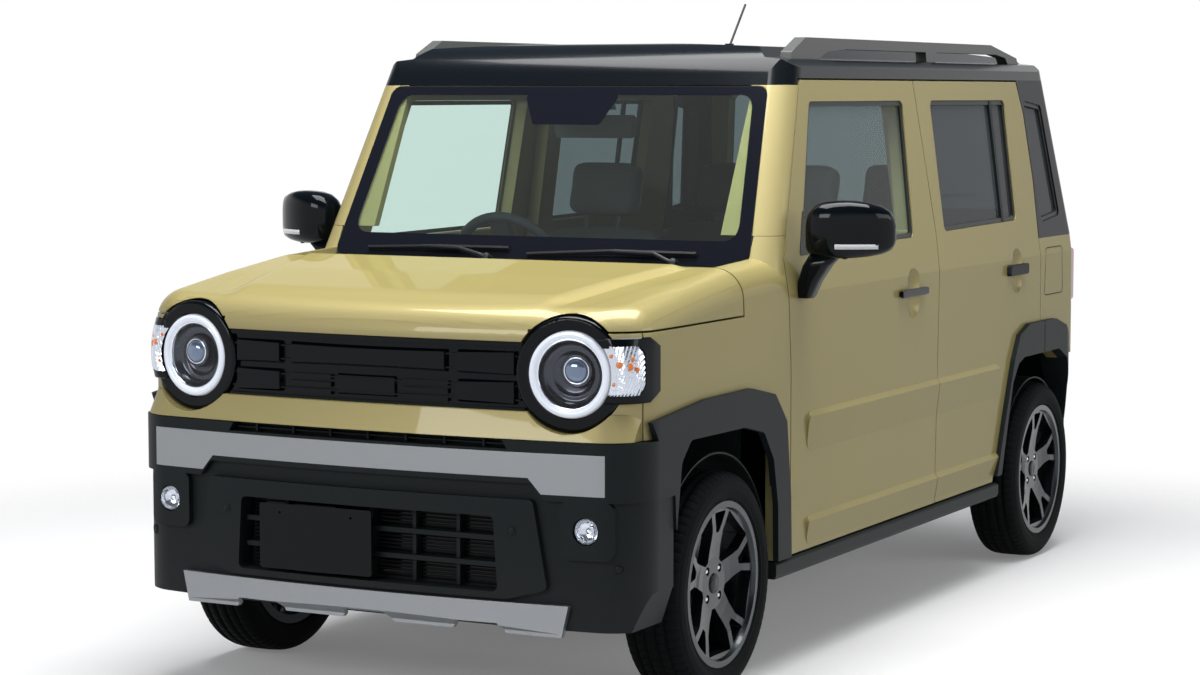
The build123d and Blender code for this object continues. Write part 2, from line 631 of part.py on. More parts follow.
# Headlamps: round pod with a turn lamp housing beside it
TURN_LOW_Z = 797.0
TURN_TOP_Z = 943.0
TURN_FRONT = [(600, -1628), (640, -1622), (684, -1600), (706, -1568), (706, -1547), (600, -1547)]
TURN_LENS = [(600, -1632), (641, -1624), (682, -1604), (698, -1576), (686, -1566), (600, -1590)]
with BuildPart() as lamp_pod:
    add(lamp_disc(LAMP_BEZEL_R, 0, 120))
    fillet(lamp_pod.edges().filter_by(GeomType.CIRCLE).sort_by(Axis.Y)[0], 10)
    add(plan_prism(TURN_FRONT, TURN_LOW_Z, TURN_TOP_Z))
    with BuildPart(mode=Mode.PRIVATE) as turn_pocket:
        add(plan_prism(TURN_LENS, TURN_LOW_Z + 18, TURN_TOP_Z - 20))
        add(front_prism([(600, TURN_LOW_Z + 18), (672, TURN_LOW_Z + 18), (700, TURN_LOW_Z + 34),
                         (700, TURN_TOP_Z - 36), (672, TURN_TOP_Z - 20),
                         (600, TURN_TOP_Z - 20)], -1700, -1500), mode=Mode.INTERSECT)
    add(turn_pocket.part, mode=Mode.SUBTRACT)
    add(lamp_disc(LAMP_RING_R, -50, 40), mode=Mode.SUBTRACT)
save(both_sides(lamp_pod.part), "headlamp_pods")
with BuildPart() as lamp_lens:
    add(lamp_disc(LAMP_RING_R, -6, 39))
    fillet(lamp_lens.edges().filter_by(GeomType.CIRCLE).sort_by(Axis.Y)[0], 6)
with BuildPart() as turn_lens:
    add(turn_pocket.part)
    add(lamp_disc(LAMP_RING_R + 3, -50, 60), mode=Mode.SUBTRACT)
with BuildPart() as lamp_lenses:
    add(lamp_lens.part)
    add(turn_lens.part)
save(both_sides(lamp_lenses.part), "headlamps")


def bumper_form(inset=0.0, low_z=BUMPER_LOW_Z, top_z=BUMPER_TOP_Z):
    """Front bumper envelope with its curved face, rounded corners and tucked lower edge."""
    with BuildPart() as form:
        with BuildSketch(Plane.XY.offset(low_z)):
            add(plan_outline(NOSE_Y + inset, BUMPER_ARC_R, BUMPER_CORNER_R - inset / 2,
                             FLARE_X - inset / 3, -1380))
        extrude(amount=top_z - low_z)
        add(side_prism([(-1800, 330), (-1667 + inset, 235), (-1667 + inset, 200), (-1300, 200),
                        (-1300, 720), (-1800, 720)], -800, 800), mode=Mode.INTERSECT)
        add(front_prism([(-760, 740), (-760, 345), (-735 + inset / 3, 330),
                         (-686 + inset / 3, low_z - 60), (686 - inset / 3, low_z - 60),
                         (735 - inset / 3, 330), (760, 345), (760, 740)], -1800, -1300),
            mode=Mode.INTERSECT)
    return form.part


# Front bumper: recessed face with a raised upper band, centre block and fog lamp frames
VENT = [(-404, 676), (404, 676), (381, 712), (-381, 712)]
CENTRE_BLOCK = [(-470, 556), (-508, 340), (-400, 312), (400, 312), (508, 340), (470, 556)]
AIR_INTAKE = [(-366, 512), (-378, 328), (378, 328), (366, 512)]
FOG_X = 606.0
FOG_Z = 487.0
BAR_OUTLINE = [(-653, 571), (-492, 571), (-458, 609), (458, 609), (492, 571), (653, 571),
               (653, 670), (-653, 670)]
outer_form = bumper_form()
with BuildPart() as bumper:
    add(bumper_form(BUMPER_RECESS))
    with BuildPart(mode=Mode.PRIVATE) as raised:
        add(front_prism([(-760, 556), (-500, 556), (-466, 596), (466, 596), (500, 556),
                         (760, 556), (760, 720), (-760, 720)], -1800, -1440, radius=10))
        add(front_prism(CENTRE_BLOCK, -1800, -1600, radius=14))
        for x in (-FOG_X, FOG_X):
            add(front_prism([(x - 66, FOG_Z - 70), (x + 66, FOG_Z - 70), (x + 66, FOG_Z + 71),
                             (x - 66, FOG_Z + 71)], -1800, -1600, radius=22))
        add(outer_form, mode=Mode.INTERSECT)
    add(raised.part)
    add(bumper_form(BUMPER_RECESS + BUMPER_WALL, low_z=150, top_z=672), mode=Mode.SUBTRACT)
    add(front_prism(AIR_INTAKE, -1800, -1560, radius=14), mode=Mode.SUBTRACT)
    add(front_prism(VENT, -1800, -1640), mode=Mode.SUBTRACT)
    add(side_prism([(-1560, 745), (-1441, 556), (-1441, 100), (-1300, 100), (-1300, 745)],
                   -800, 800), mode=Mode.SUBTRACT)
    add(block(-640, 640, -1600, -1380, 600, 720), mode=Mode.SUBTRACT)
    for x in (-FOG_X, FOG_X):
        with Locations(Plane.XZ.offset(1640) * Location((x, FOG_Z, 0))):
            Cylinder(34, 120, mode=Mode.SUBTRACT)
    with BuildPart(mode=Mode.PRIVATE) as bar_seat:
        add(front_prism(BAR_OUTLINE, -1800, -1600))
        add(bumper_form(12), mode=Mode.SUBTRACT)
    add(bar_seat.part, mode=Mode.SUBTRACT)
save(bumper.part, "front_bumper")

with BuildPart() as bar:
    add(outer_form)
    add(bumper_form(12), mode=Mode.SUBTRACT)
    add(front_prism(BAR_OUTLINE, -1800, -1600), mode=Mode.INTERSECT)
save(bar.part, "bumper_bar")

with BuildPart() as fog_lamp:
    with Locations(Plane.XZ.offset(1634) * Location((FOG_X, FOG_Z, 0))):
        Cylinder(34, 40)
    fillet(fog_lamp.edges().filter_by(GeomType.CIRCLE).sort_by(Axis.Y)[0], 6)
save(both_sides(fog_lamp.part), "fog_lamps")

# Radiator grille behind the air intake
INTAKE_BARS = [390, 455]
with BuildPart() as intake:
    add(front_prism([(-386, 320), (386, 320), (374, 520), (-374, 520)], -1618, -1605))
    for z in INTAKE_BARS:
        add(block(-364, 364, -1662, -1618, z - 6, z + 6))
    for x in (-250, -125, 0, 125, 250):
        add(block(x - 5, x + 5, -1650, -1618, 330, 510))
save(intake.part, "air_intake")

# Number plate blank
PLATE_X = -136.0
PLATE_Z = 420.0
with BuildPart() as plate:
    add(front_prism([(PLATE_X - 165, PLATE_Z - 82.5), (PLATE_X + 165, PLATE_Z - 82.5),
                     (PLATE_X + 165, PLATE_Z + 82.5), (PLATE_X - 165, PLATE_Z + 82.5)],
                    -1697, -1694, radius=8))
    for x in (PLATE_X - 105, PLATE_X + 105):
        with Locations(Plane.XZ.offset(1680) * Location((x, PLATE_Z + 60, 0))):
            Cylinder(3.5, 60, mode=Mode.SUBTRACT)
    add(block(PLATE_X - 60, PLATE_X + 60, -1694, -1662, PLATE_Z - 84, PLATE_Z + 84))
save(plate.part, "front_plate")

# Skid plate with three notches
SKID = [(-544, 226), (544, 226), (562, 304), (-562, 304)]
SKID_NOTCH_X = [-318, 0, 318]
with BuildPart() as skid:
    add(bumper_form(0, low_z=180))
    add(bumper_form(BUMPER_RECESS, low_z=100), mode=Mode.SUBTRACT)
    add(front_prism(SKID, -1800, -1600), mode=Mode.INTERSECT)
    for x in SKID_NOTCH_X:
        add(front_prism([(x - 78, 220), (x + 78, 220), (x + 58, 251), (x - 58, 251)],
                        -1800, -1600), mode=Mode.SUBTRACT)
save(skid.part, "skid_plate")

# Rear bumper and tail lamps
with BuildPart() as rear_bumper:
    add(rear_form.part)
    add(block(-740, 740, 1562, 1700, 320, 650), mode=Mode.INTERSECT)
    add(block(-640, 640, 1400, 1640, 100, 900), mode=Mode.SUBTRACT)
    for shape in (side_prism(REAR_FLARE, FLARE_IN_X - 1, 760),
                  side_prism(REAR_OPENING, 560, 800, radius=30),
                  side_prism([(1500, 300), (1500, 470), (1600, 440), (1650, 300)], 500, 800)):
        add(shape, mode=Mode.SUBTRACT)
        add(mirrored(shape), mode=Mode.SUBTRACT)
save(rear_bumper.part, "rear_bumper")

with BuildPart() as tail_lamp:
    add(front_prism(TAIL_LAMP, 1622, 1697, radius=14))
save(both_sides(tail_lamp.part), "tail_lamps")

# Roof rails: bar with sloping feet and a middle post, in one piece each side
RAIL_X = 582.0
RAIL_TOP_Z = HEIGHT
with BuildPart() as rail:
    add(side_prism([(-452, 1606), (-440, 1640), (-346, RAIL_TOP_Z), (1150, RAIL_TOP_Z),
                    (1400, 1640), (1424, 1606), (1330, 1606), (1290, 1640), (1200, 1650),
                    (660, 1650), (650, 1606), (580, 1606), (570, 1650), (-60, 1650),
                    (-200, 1640), (-290, 1606)], RAIL_X - 17, RAIL_X + 17, radius=5))
    add(cab, mode=Mode.SUBTRACT)
save(both_sides(rail.part), "roof_rails")

with BuildPart() as antenna:
    with BuildSketch(Plane.XY.offset(ROOF_Z - 4)):
        with Locations((0, 440)):
            Circle(14)
    extrude(amount=16)
    rod = Plane(origin=(0, 442, ROOF_Z + 4), z_dir=(0, 0.66, 0.75))
    with BuildSketch(rod):
        Circle(3.5)
    extrude(amount=175)
    add(cab, mode=Mode.SUBTRACT)
save(antenna.part, "antenna")

WIPERS = [(430, 1086, -60, 1097), (-140, 1086, -560, 1096)]
with BuildPart() as wipers:
    for x_pivot, z_pivot, x_tip, z_tip in WIPERS:
        pivot = Vector(x_pivot, screen_y(z_pivot) - 12, z_pivot)
        tip = Vector(x_tip, screen_y(z_tip) - 12, z_tip)
        with BuildSketch(Plane(origin=pivot, z_dir=tip - pivot)):
            Rectangle(14, 9)
        extrude(amount=(tip - pivot).length)
        add(block(x_pivot - 12, x_pivot + 12, screen_y(z_pivot) - 30, screen_y(z_pivot) - 8,
                  1069, z_pivot + 2))
save(wipers.part, "wipers")

# Sill mouldings
with BuildPart() as sill:
    add(front_prism([(662, 252), (726, 252), (730, 262), (730, 290), (722, 296), (662, 296)],
                    -822, 903))
    fillet(sill.edges().filter_by(Axis.Y).sort_by(Axis.X)[-1], 5)
save(both_sides(sill.part), "sill_mouldings")

# Front arch mouldings
with BuildPart() as front_flare:
    add(side_prism(FRONT_FLARE, SKIN_X - 3, FLARE_X))
    with BuildPart(mode=Mode.PRIVATE) as plan_form:
        with BuildSketch(Plane.XY.offset(190)):
            add(plan_outline(NOSE_Y, BUMPER_ARC_R, BUMPER_CORNER_R, FLARE_X, -700))
        extrude(amount=620)
    add(plan_form.part, mode=Mode.INTERSECT)
    add(side_prism(FRONT_OPENING, 500, 800, radius=30), mode=Mode.SUBTRACT)
    add(block(500, 800, -900, -700, 100, 302), mode=Mode.SUBTRACT)
    add(block(500, SKIN_X, -1560, -700, 690, 800), mode=Mode.SUBTRACT)
    add(block(500, SKIN_X, -840, -700, 100, 800), mode=Mode.SUBTRACT)
with BuildPart() as arch_trims:
    add(front_flare.part)
    add(quarter_flare.part)
    add(mirrored(front_flare.part))
    add(mirrored(quarter_flare.part))
save(arch_trims.part, "arch_mouldings")

# Wheel housings
with BuildPart() as liners:
    for axle_y, reach in ((FRONT_AXLE_Y, 334), (REAR_AXLE_Y, 305)):
        for inner_r, depth in ((reach - 5, 262), (60, 5)):
            with BuildSketch(Plane.YZ.offset(430)):
                with Locations((axle_y, TYRE_R)):
                    Circle(reach)
                    Circle(inner_r, mode=Mode.SUBTRACT)
                with Locations((axle_y, TYRE_R - 285)):
                    Rectangle(900, 600, mode=Mode.SUBTRACT)
            extrude(amount=depth)
save(both_sides(liners.part), "wheel_liners")

# Cabin
STEER_X = -340.0
STEER_TILT = 26.0
wheel_plane = Plane(origin=(STEER_X, -330, 1010), x_dir=(1, 0, 0),
                    z_dir=(0, math.cos(math.radians(STEER_TILT)), math.sin(math.radians(STEER_TILT))))
with BuildPart() as dash:
    add(side_prism([(-765, 780), (-765, 1040), (-700, 1052), (-430, 1020), (-400, 960),
                    (-420, 860), (-520, 800)], -640, 640, radius=12))
    add(block(STEER_X - 165, STEER_X + 165, -530, -412, 1000, 1052))
    with BuildSketch(wheel_plane.offset(-16)):
        Circle(36)
    extrude(amount=-110)
    add(block(-95, 95, -520, -410, 640, 820))
save(dash.part, "dashboard")


def seat(x_mid, y_back, width, cushion_z, back_top):
    """Plain seat: cushion and leaning back."""
    with BuildPart() as form:
        add(side_prism([(y_back - 500, cushion_z - 150), (y_back - 510, cushion_z),
                        (y_back - 60, cushion_z - 25), (y_back, cushion_z - 30),
                        (y_back - 10, cushion_z - 150)], x_mid - width / 2, x_mid + width / 2,
                       radius=18))
        add(side_prism([(y_back - 90, cushion_z - 40), (y_back + 70, back_top),
                        (y_back + 160, back_top - 10), (y_back + 50, cushion_z - 80)],
                       x_mid - width / 2, x_mid + width / 2, radius=25))
        add(side_prism([(y_back + 80, back_top - 5), (y_back + 95, back_top + 170),
                        (y_back + 175, back_top + 165), (y_back + 150, back_top - 20)],
                       x_mid - 125, x_mid + 125, radius=20))
        add(block(x_mid - width / 2 + 40, x_mid + width / 2 - 40, y_back - 470, y_back - 40,
                  FLOOR_Z, cushion_z - 140))
    return form.part


with BuildPart() as front_seats:
    for x in (-330, 330):
        add(seat(x, 120, 470, 660, 1140))
save(front_seats.part, "front_seats")
with BuildPart() as rear_seats:
    for x in (-300, 300):
        add(seat(x, 980, 540, 680, 1120))
save(rear_seats.part, "rear_seats")

with BuildPart() as steering:
    with BuildLine(wheel_plane) as hoop:
        CenterArc((0, 0), 175, 0, 360)
    with BuildSketch(Plane(origin=hoop.line @ 0, z_dir=hoop.line % 0)):
        Circle(15)
    sweep()
    with BuildSketch(wheel_plane.offset(-14)):
        Circle(62)
        Rectangle(340, 34)
        with Locations((0, -80)):
            Rectangle(60, 170)
    extrude(amount=24)
save(steering.part, "steering_wheel")

with BuildPart() as inner_mirror:
    add(front_prism([(-120, 1400), (120, 1400), (125, 1465), (-125, 1465)], -470, -440, radius=14))
    add(block(-12, 12, -520, -455, 1440, 1470))
    add(side_prism([(screen_y(1480) + 12, 1480), (screen_y(1538) + 12, 1538), (-500, 1538),
                    (-470, 1480)], -75, 75))
save(inner_mirror.part, "interior_mirror")

# Engine and running gear
with BuildPart() as engine:
    add(block(-300, 260, -1440, -1000, 380, 800))
    add(block(-200, 200, -1180, -1040, 260, 380))
    add(block(-420, -310, -1440, -1200, 560, 780))
    add(block(-325, 325, -1560, -1515, 360, 720))
    add(block(-300, -270, -1515, -1440, 500, 560))
    add(block(-310, -300, -1440, -1200, 560, 600))
save(engine.part, "engine")

HUB_FACE_X = 700.0
KINGPIN_X = 655.0
with BuildPart() as suspension:
    add(block(-360, 360, -1180, -1040, 200, 260))
    for hand in (1, -1):
        with BuildSketch(Plane.XY.offset(196)):
            with BuildLine():
                Polyline((hand * 350, -1200), (hand * 350, -1030), (hand * 590, -1105),
                         (hand * 590, -1155), close=True)
            make_face()
        extrude(amount=24)
    add(block(-380, -330, -1600, -1180, 380, 440))
    add(block(330, 380, -1600, -1180, 380, 440))
save(suspension.part, "front_subframe")

with BuildPart() as knuckle:
    with Locations(Plane.YZ.offset(580) * Location((FRONT_AXLE_Y, TYRE_R, 0))):
        Cylinder(48, 60, align=(Align.CENTER, Align.CENTER, Align.MIN))
    add(block(594, 620, FRONT_AXLE_Y - 24, FRONT_AXLE_Y + 24, 222, 430))
save(knuckle.part, "front_knuckle_left")
save(mirrored(knuckle.part), "front_knuckle_right")

with BuildPart() as rear_axle:
    with Locations(Plane.YZ.offset(-640) * Location((REAR_AXLE_Y, TYRE_R, 0))):
        Cylinder(38, 1280, align=(Align.CENTER, Align.CENTER, Align.MIN))
    for x in (-480, 480):
        add(block(x - 22, x + 22, 930, REAR_AXLE_Y, TYRE_R - 50, TYRE_R))
        add(block(x - 22, x + 22, 930, 990, TYRE_R, 300))
save(rear_axle.part, "rear_axle")

with BuildPart() as underbody:
    add(block(-330, 330, 560, 960, 205, 300))
    add(block(-400, -130, 1500, 1616, 240, 340))
save(underbody.part, "underbody_tanks")

# Wheels
TREAD_HALF = 62.0
with BuildPart() as tyre:
    with BuildSketch(Plane.XY):
        half = TYRE_WIDTH / 2
        with BuildLine():
            Polyline((-half + 14, RIM_R), (-half, RIM_R + 26), (-half + 3, TYRE_R - 34),
                     (-TREAD_HALF - 6, TYRE_R - 7), (-TREAD_HALF + 8, TYRE_R),
                     (TREAD_HALF - 8, TYRE_R), (TREAD_HALF + 6, TYRE_R - 7),
                     (half - 3, TYRE_R - 34), (half, RIM_R + 26), (half - 14, RIM_R),
                     (half - 14, RIM_R - 12), (-half + 14, RIM_R - 12), close=True)
        make_face()
    revolve(axis=Axis.X)
tyre_form = tyre.part

SPOKES = 5
BARREL = 12.3
DISH_FACE = [
    # radius, face x, back x
    (RIM_R - 14, 66, 40), (150, 60, 30), (96, 50, 20), (66, 46, 14), (30, 46, -4)]
SPOKE_WINDOW = [
    # radius, half angle about the gap between two spokes
    (66, 7), (112, 21), (140, 23.5), (RIM_R - 22, 20)]
FORK_WINDOW = [
    # radius, half angle about a spoke
    (132, 3.5), (RIM_R - 24, 10)]


def polar_window(table, middle):
    """Outline on both sides of a middle angle from radii and half angles."""
    near = [(r * math.cos(math.radians(middle - a)), r * math.sin(math.radians(middle - a)))
            for r, a in table]
    far = [(r * math.cos(math.radians(middle + a)), r * math.sin(math.radians(middle + a)))
           for r, a in reversed(table)]
    return near + far


with BuildPart() as rim:
    half = TYRE_WIDTH / 2
    with BuildSketch(Plane.XY):
        with BuildLine():
            Polyline((-half + 8, RIM_R), (-half + 13.7, RIM_R), (-half + 13.7, RIM_R - BARREL),
                     (half - 13.7, RIM_R - BARREL), (half - 13.7, RIM_R), (half - 8, RIM_R),
                     (half - 8, RIM_R - 16), (half - 22, RIM_R - 24), (-half + 8, RIM_R - 24),
                     close=True)
        make_face()
        with BuildLine():
            Polyline(*[(face, r) for r, face, back in DISH_FACE], (46, 0), (-4, 0),
                     *[(back, r) for r, face, back in reversed(DISH_FACE)], close=True)
        make_face()
    revolve(axis=Axis.X)
    with BuildSketch(Plane.YZ.offset(-40)) as windows:
        for step in range(SPOKES):
            spoke = 90 + 360 / SPOKES * step
            for table, middle, corner in ((SPOKE_WINDOW, spoke + 180 / SPOKES, 7),
                                          (FORK_WINDOW, spoke, 4)):
                with BuildLine():
                    Polyline(*polar_window(table, middle), close=True)
                make_face()
        fillet(windows.vertices(), 4)
    extrude(amount=140, mode=Mode.SUBTRACT)
    with BuildSketch(Plane.YZ.offset(half)):
        with PolarLocations(50, 4, start_angle=45):
            Circle(11)
    extrude(amount=-45, mode=Mode.SUBTRACT)
rim_form = rim.part

for axle, axle_y in (("front", FRONT_AXLE_Y), ("rear", REAR_AXLE_Y)):
    for name, form in (("tyre", tyre_form), ("rim", rim_form)):
        placed = Location((WHEEL_X, axle_y, TYRE_R)) * form
        save(placed, f"{name}_{axle}_left")
        save(mirrored(placed), f"{name}_{axle}_right")
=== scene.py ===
import json
import math

import bmesh
import bpy
from mathutils import Matrix, Vector
from mathutils.bvhtree import BVHTree


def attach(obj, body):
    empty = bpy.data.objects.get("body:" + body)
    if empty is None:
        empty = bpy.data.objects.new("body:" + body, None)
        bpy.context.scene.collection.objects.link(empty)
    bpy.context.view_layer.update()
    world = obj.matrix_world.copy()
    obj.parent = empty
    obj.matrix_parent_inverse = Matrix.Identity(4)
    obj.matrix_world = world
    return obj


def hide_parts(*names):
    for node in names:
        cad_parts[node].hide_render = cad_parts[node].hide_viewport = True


bl_info = {
    "name": "Kei Car Looks",
    "version": (1, 0, 0),
    "blender": (4, 5, 0),
    "location": "View3D > Sidebar > Kei Car",
    "description": "Paint, lamps, wheels, cabin and studio of a small tall five-door car",
    "category": "Object",
}

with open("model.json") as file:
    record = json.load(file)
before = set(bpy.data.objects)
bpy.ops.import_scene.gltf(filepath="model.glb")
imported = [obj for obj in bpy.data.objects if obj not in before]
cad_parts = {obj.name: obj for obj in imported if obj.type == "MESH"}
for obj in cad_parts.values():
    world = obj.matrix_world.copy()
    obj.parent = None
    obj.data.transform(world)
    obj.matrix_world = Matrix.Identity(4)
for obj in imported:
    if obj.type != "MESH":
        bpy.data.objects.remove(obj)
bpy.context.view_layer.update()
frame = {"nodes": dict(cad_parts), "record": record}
NODES = frame["nodes"]
BODY = "car_body"
SIDES = (("left", 1.0), ("right", -1.0))
MATERIALS, EFFECTS = {}, {}


# Shader helpers

def opaque(color):
    """Colour with full alpha."""
    return (*color, 1.0)


def set_inlets(node, values):
    """The node, with start values set by inlet name or number."""
    for inlet, value in values.items():
        node.inputs[inlet].default_value = value
    return node


def add_node(tree, kind, values=None, **settings):
    """New shader node with its settings and the values of its inlets."""
    node = tree.nodes.new(f"ShaderNode{kind}")
    for name, value in settings.items():
        setattr(node, name, value)
    return set_inlets(node, values or {})


def wire(tree, *links):
    """Links, each given as node, outlet, next node, inlet."""
    for start, outlet, end, inlet in links:
        tree.links.new(start.outputs[outlet], end.inputs[inlet])


def effect_group(name, inlets, outlet, kind):
    """New node group with number inlets and their start values, and one outlet."""
    group = bpy.data.node_groups.new(name, "ShaderNodeTree")
    for inlet, start in inlets.items():
        socket = group.interface.new_socket(inlet, in_out="INPUT", socket_type="NodeSocketFloat")
        socket.default_value = start
    group.interface.new_socket(outlet, in_out="OUTPUT", socket_type=kind)
    return group, group.nodes.new("NodeGroupInput"), group.nodes.new("NodeGroupOutput")


# Node groups

def bump_grain_group():
    """Fine moulded or woven grain as a normal."""
    group, inlet, outlet = effect_group(
        "Fine Grain", {"Scale": 500.0, "Depth": 0.0004, "Strength": 0.4}, "Normal",
        "NodeSocketVector")
    coords, bump = add_node(group, "TexCoord"), add_node(group, "Bump")
    noise = add_node(group, "TexNoise", {"Detail": 2.0})
    wire(group, (coords, "Object", noise, "Vector"), (inlet, "Scale", noise, "Scale"),
         (inlet, "Depth", bump, "Distance"), (inlet, "Strength", bump, "Strength"),
         (noise, "Fac", bump, "Height"), (bump, "Normal", outlet, "Normal"))
    return group


def soft_edge_group():
    """Pressed-panel edges rounded a little in the shading."""
    group, inlet, outlet = effect_group("Soft Edge", {"Radius": 0.002}, "Normal",
                                        "NodeSocketVector")
    bevel = add_node(group, "Bevel", samples=4)
    wire(group, (inlet, "Radius", bevel, "Radius"), (bevel, "Normal", outlet, "Normal"))
    return group


def road_dust_group():
    """A faint mask that is stronger low on the car, for dust and scuffs."""
    group, inlet, outlet = effect_group("Road Dust", {"Top": 0.5, "Amount": 0.2}, "Mask",
                                        "NodeSocketFloat")
    coords, split = add_node(group, "TexCoord"), add_node(group, "SeparateXYZ")
    low = add_node(group, "MapRange", {"From Min": 0.0, "To Min": 1.0, "To Max": 0.0})
    noise = add_node(group, "TexNoise", {"Scale": 14.0})
    patchy, scaled = (add_node(group, "Math", operation="MULTIPLY") for _ in range(2))
    wire(group, (coords, "Object", split, "Vector"), (split, "Z", low, "Value"),
         (inlet, "Top", low, "From Max"), (coords, "Object", noise, "Vector"),
         (low, "Result", patchy, 0), (noise, "Fac", patchy, 1), (patchy, "Value", scaled, 0),
         (inlet, "Amount", scaled, 1), (scaled, "Value", outlet, "Mask"))
    return group


# Materials

DUST_COLOR = (0.16, 0.14, 0.12)
PILLAR_BLACK = (0.006, 0.007, 0.010)
PILLAR_FROM = (1.20, 1.052)


def blank_material(name, values):
    """New material, its tree and its Principled shader with the given values."""
    material = bpy.data.materials.new(name)
    material.use_nodes = True
    tree = material.node_tree
    return material, tree, set_inlets(tree.nodes["Principled BSDF"], values)


def effect(tree, name, **values):
    """One use of a node group with its own values."""
    return add_node(tree, "Group", values, node_tree=EFFECTS[name])


def finish(name, color, rough, metal=0.0, coat=0.0, glow=0.0, shine=0.5, grain=None, edge=0.0,
           dust=0.0):
    """A solid finish with optional grain (scale, depth, strength), soft edge radius and dust."""
    material, tree, shader = blank_material(name, {
        "Base Color": opaque(color), "Roughness": rough, "Metallic": metal, "Coat Weight": coat,
        "Specular IOR Level": shine, "Coat Roughness": 0.03})
    if glow:
        set_inlets(shader, {"Emission Color": opaque(color), "Emission Strength": glow})
    if grain:
        scale, depth, strength = grain
        face = effect(tree, "grain", Scale=scale, Depth=depth, Strength=strength)
        wire(tree, (face, "Normal", shader, "Normal"))
    elif edge:
        wire(tree, (effect(tree, "edge", Radius=edge), "Normal", shader, "Normal"))
    if dust:
        mix = add_node(tree, "Mix", {"A": opaque(color), "B": opaque(DUST_COLOR)},
                       data_type="RGBA")
        wire(tree, (effect(tree, "dust", Amount=dust), "Mask", mix, "Factor"),
             (mix, "Result", shader, "Base Color"))
    return material


def body_paint(name, face, edge, pillar=None):
    """Pearl paint, darker where the panel turns away; black behind and above a place (y, z)."""
    material, tree, shader = blank_material(name, {
        "Metallic": 0.2, "Roughness": 0.40, "Specular IOR Level": 0.0, "Coat Weight": 0.35,
        "Coat Roughness": 0.02})
    facing = add_node(tree, "LayerWeight", {"Blend": 0.4})
    shown = add_node(tree, "Mix", {"A": opaque(face), "B": opaque(edge)}, data_type="RGBA")
    wire(tree, (facing, "Facing", shown, "Factor"),
         (effect(tree, "edge", Radius=0.0025), "Normal", shader, "Normal"))
    if pillar:
        pearl = shown
        coords, split = add_node(tree, "TexCoord"), add_node(tree, "SeparateXYZ")
        behind, above = (add_node(tree, "Math", {1: start}, operation="GREATER_THAN")
                         for start in pillar)
        both = add_node(tree, "Math", operation="MULTIPLY")
        shown = add_node(tree, "Mix", {"B": opaque(PILLAR_BLACK)}, data_type="RGBA")
        wire(tree, (coords, "Object", split, "Vector"), (split, "Z", above, 0),
             (split, "Y", behind, 0), (above, "Value", both, 0), (behind, "Value", both, 1),
             (both, "Value", shown, "Factor"), (pearl, "Result", shown, "A"))
    wire(tree, (shown, "Result", shader, "Base Color"))
    return material


def window_pane(name, tint, solid):
    """Thin glass: tinted light passes, and the face mirrors the room."""
    material, tree, shader = blank_material(name, {
        "Base Color": opaque(0.4 * part for part in tint), "Roughness": 0.0,
        "Specular IOR Level": 0.8})
    clear = add_node(tree, "BsdfTransparent", {"Color": opaque(tint)})
    fresnel, faces = add_node(tree, "Fresnel", {"IOR": 1.5}), add_node(tree, "NewGeometry")
    front = add_node(tree, "Math", {0: 1.0}, operation="SUBTRACT")
    outer = add_node(tree, "Math", operation="MULTIPLY")
    cover = add_node(tree, "Math", {1: solid}, operation="ADD", use_clamp=True)
    mix = add_node(tree, "MixShader")
    wire(tree, (faces, "Backfacing", front, 1), (fresnel, "Fac", outer, 0),
         (front, "Value", outer, 1), (outer, "Value", cover, 0), (cover, "Value", mix, "Fac"),
         (clear, "BSDF", mix, 1), (shader, "BSDF", mix, 2),
         (mix, "Shader", tree.nodes["Material Output"], "Surface"))
    return material


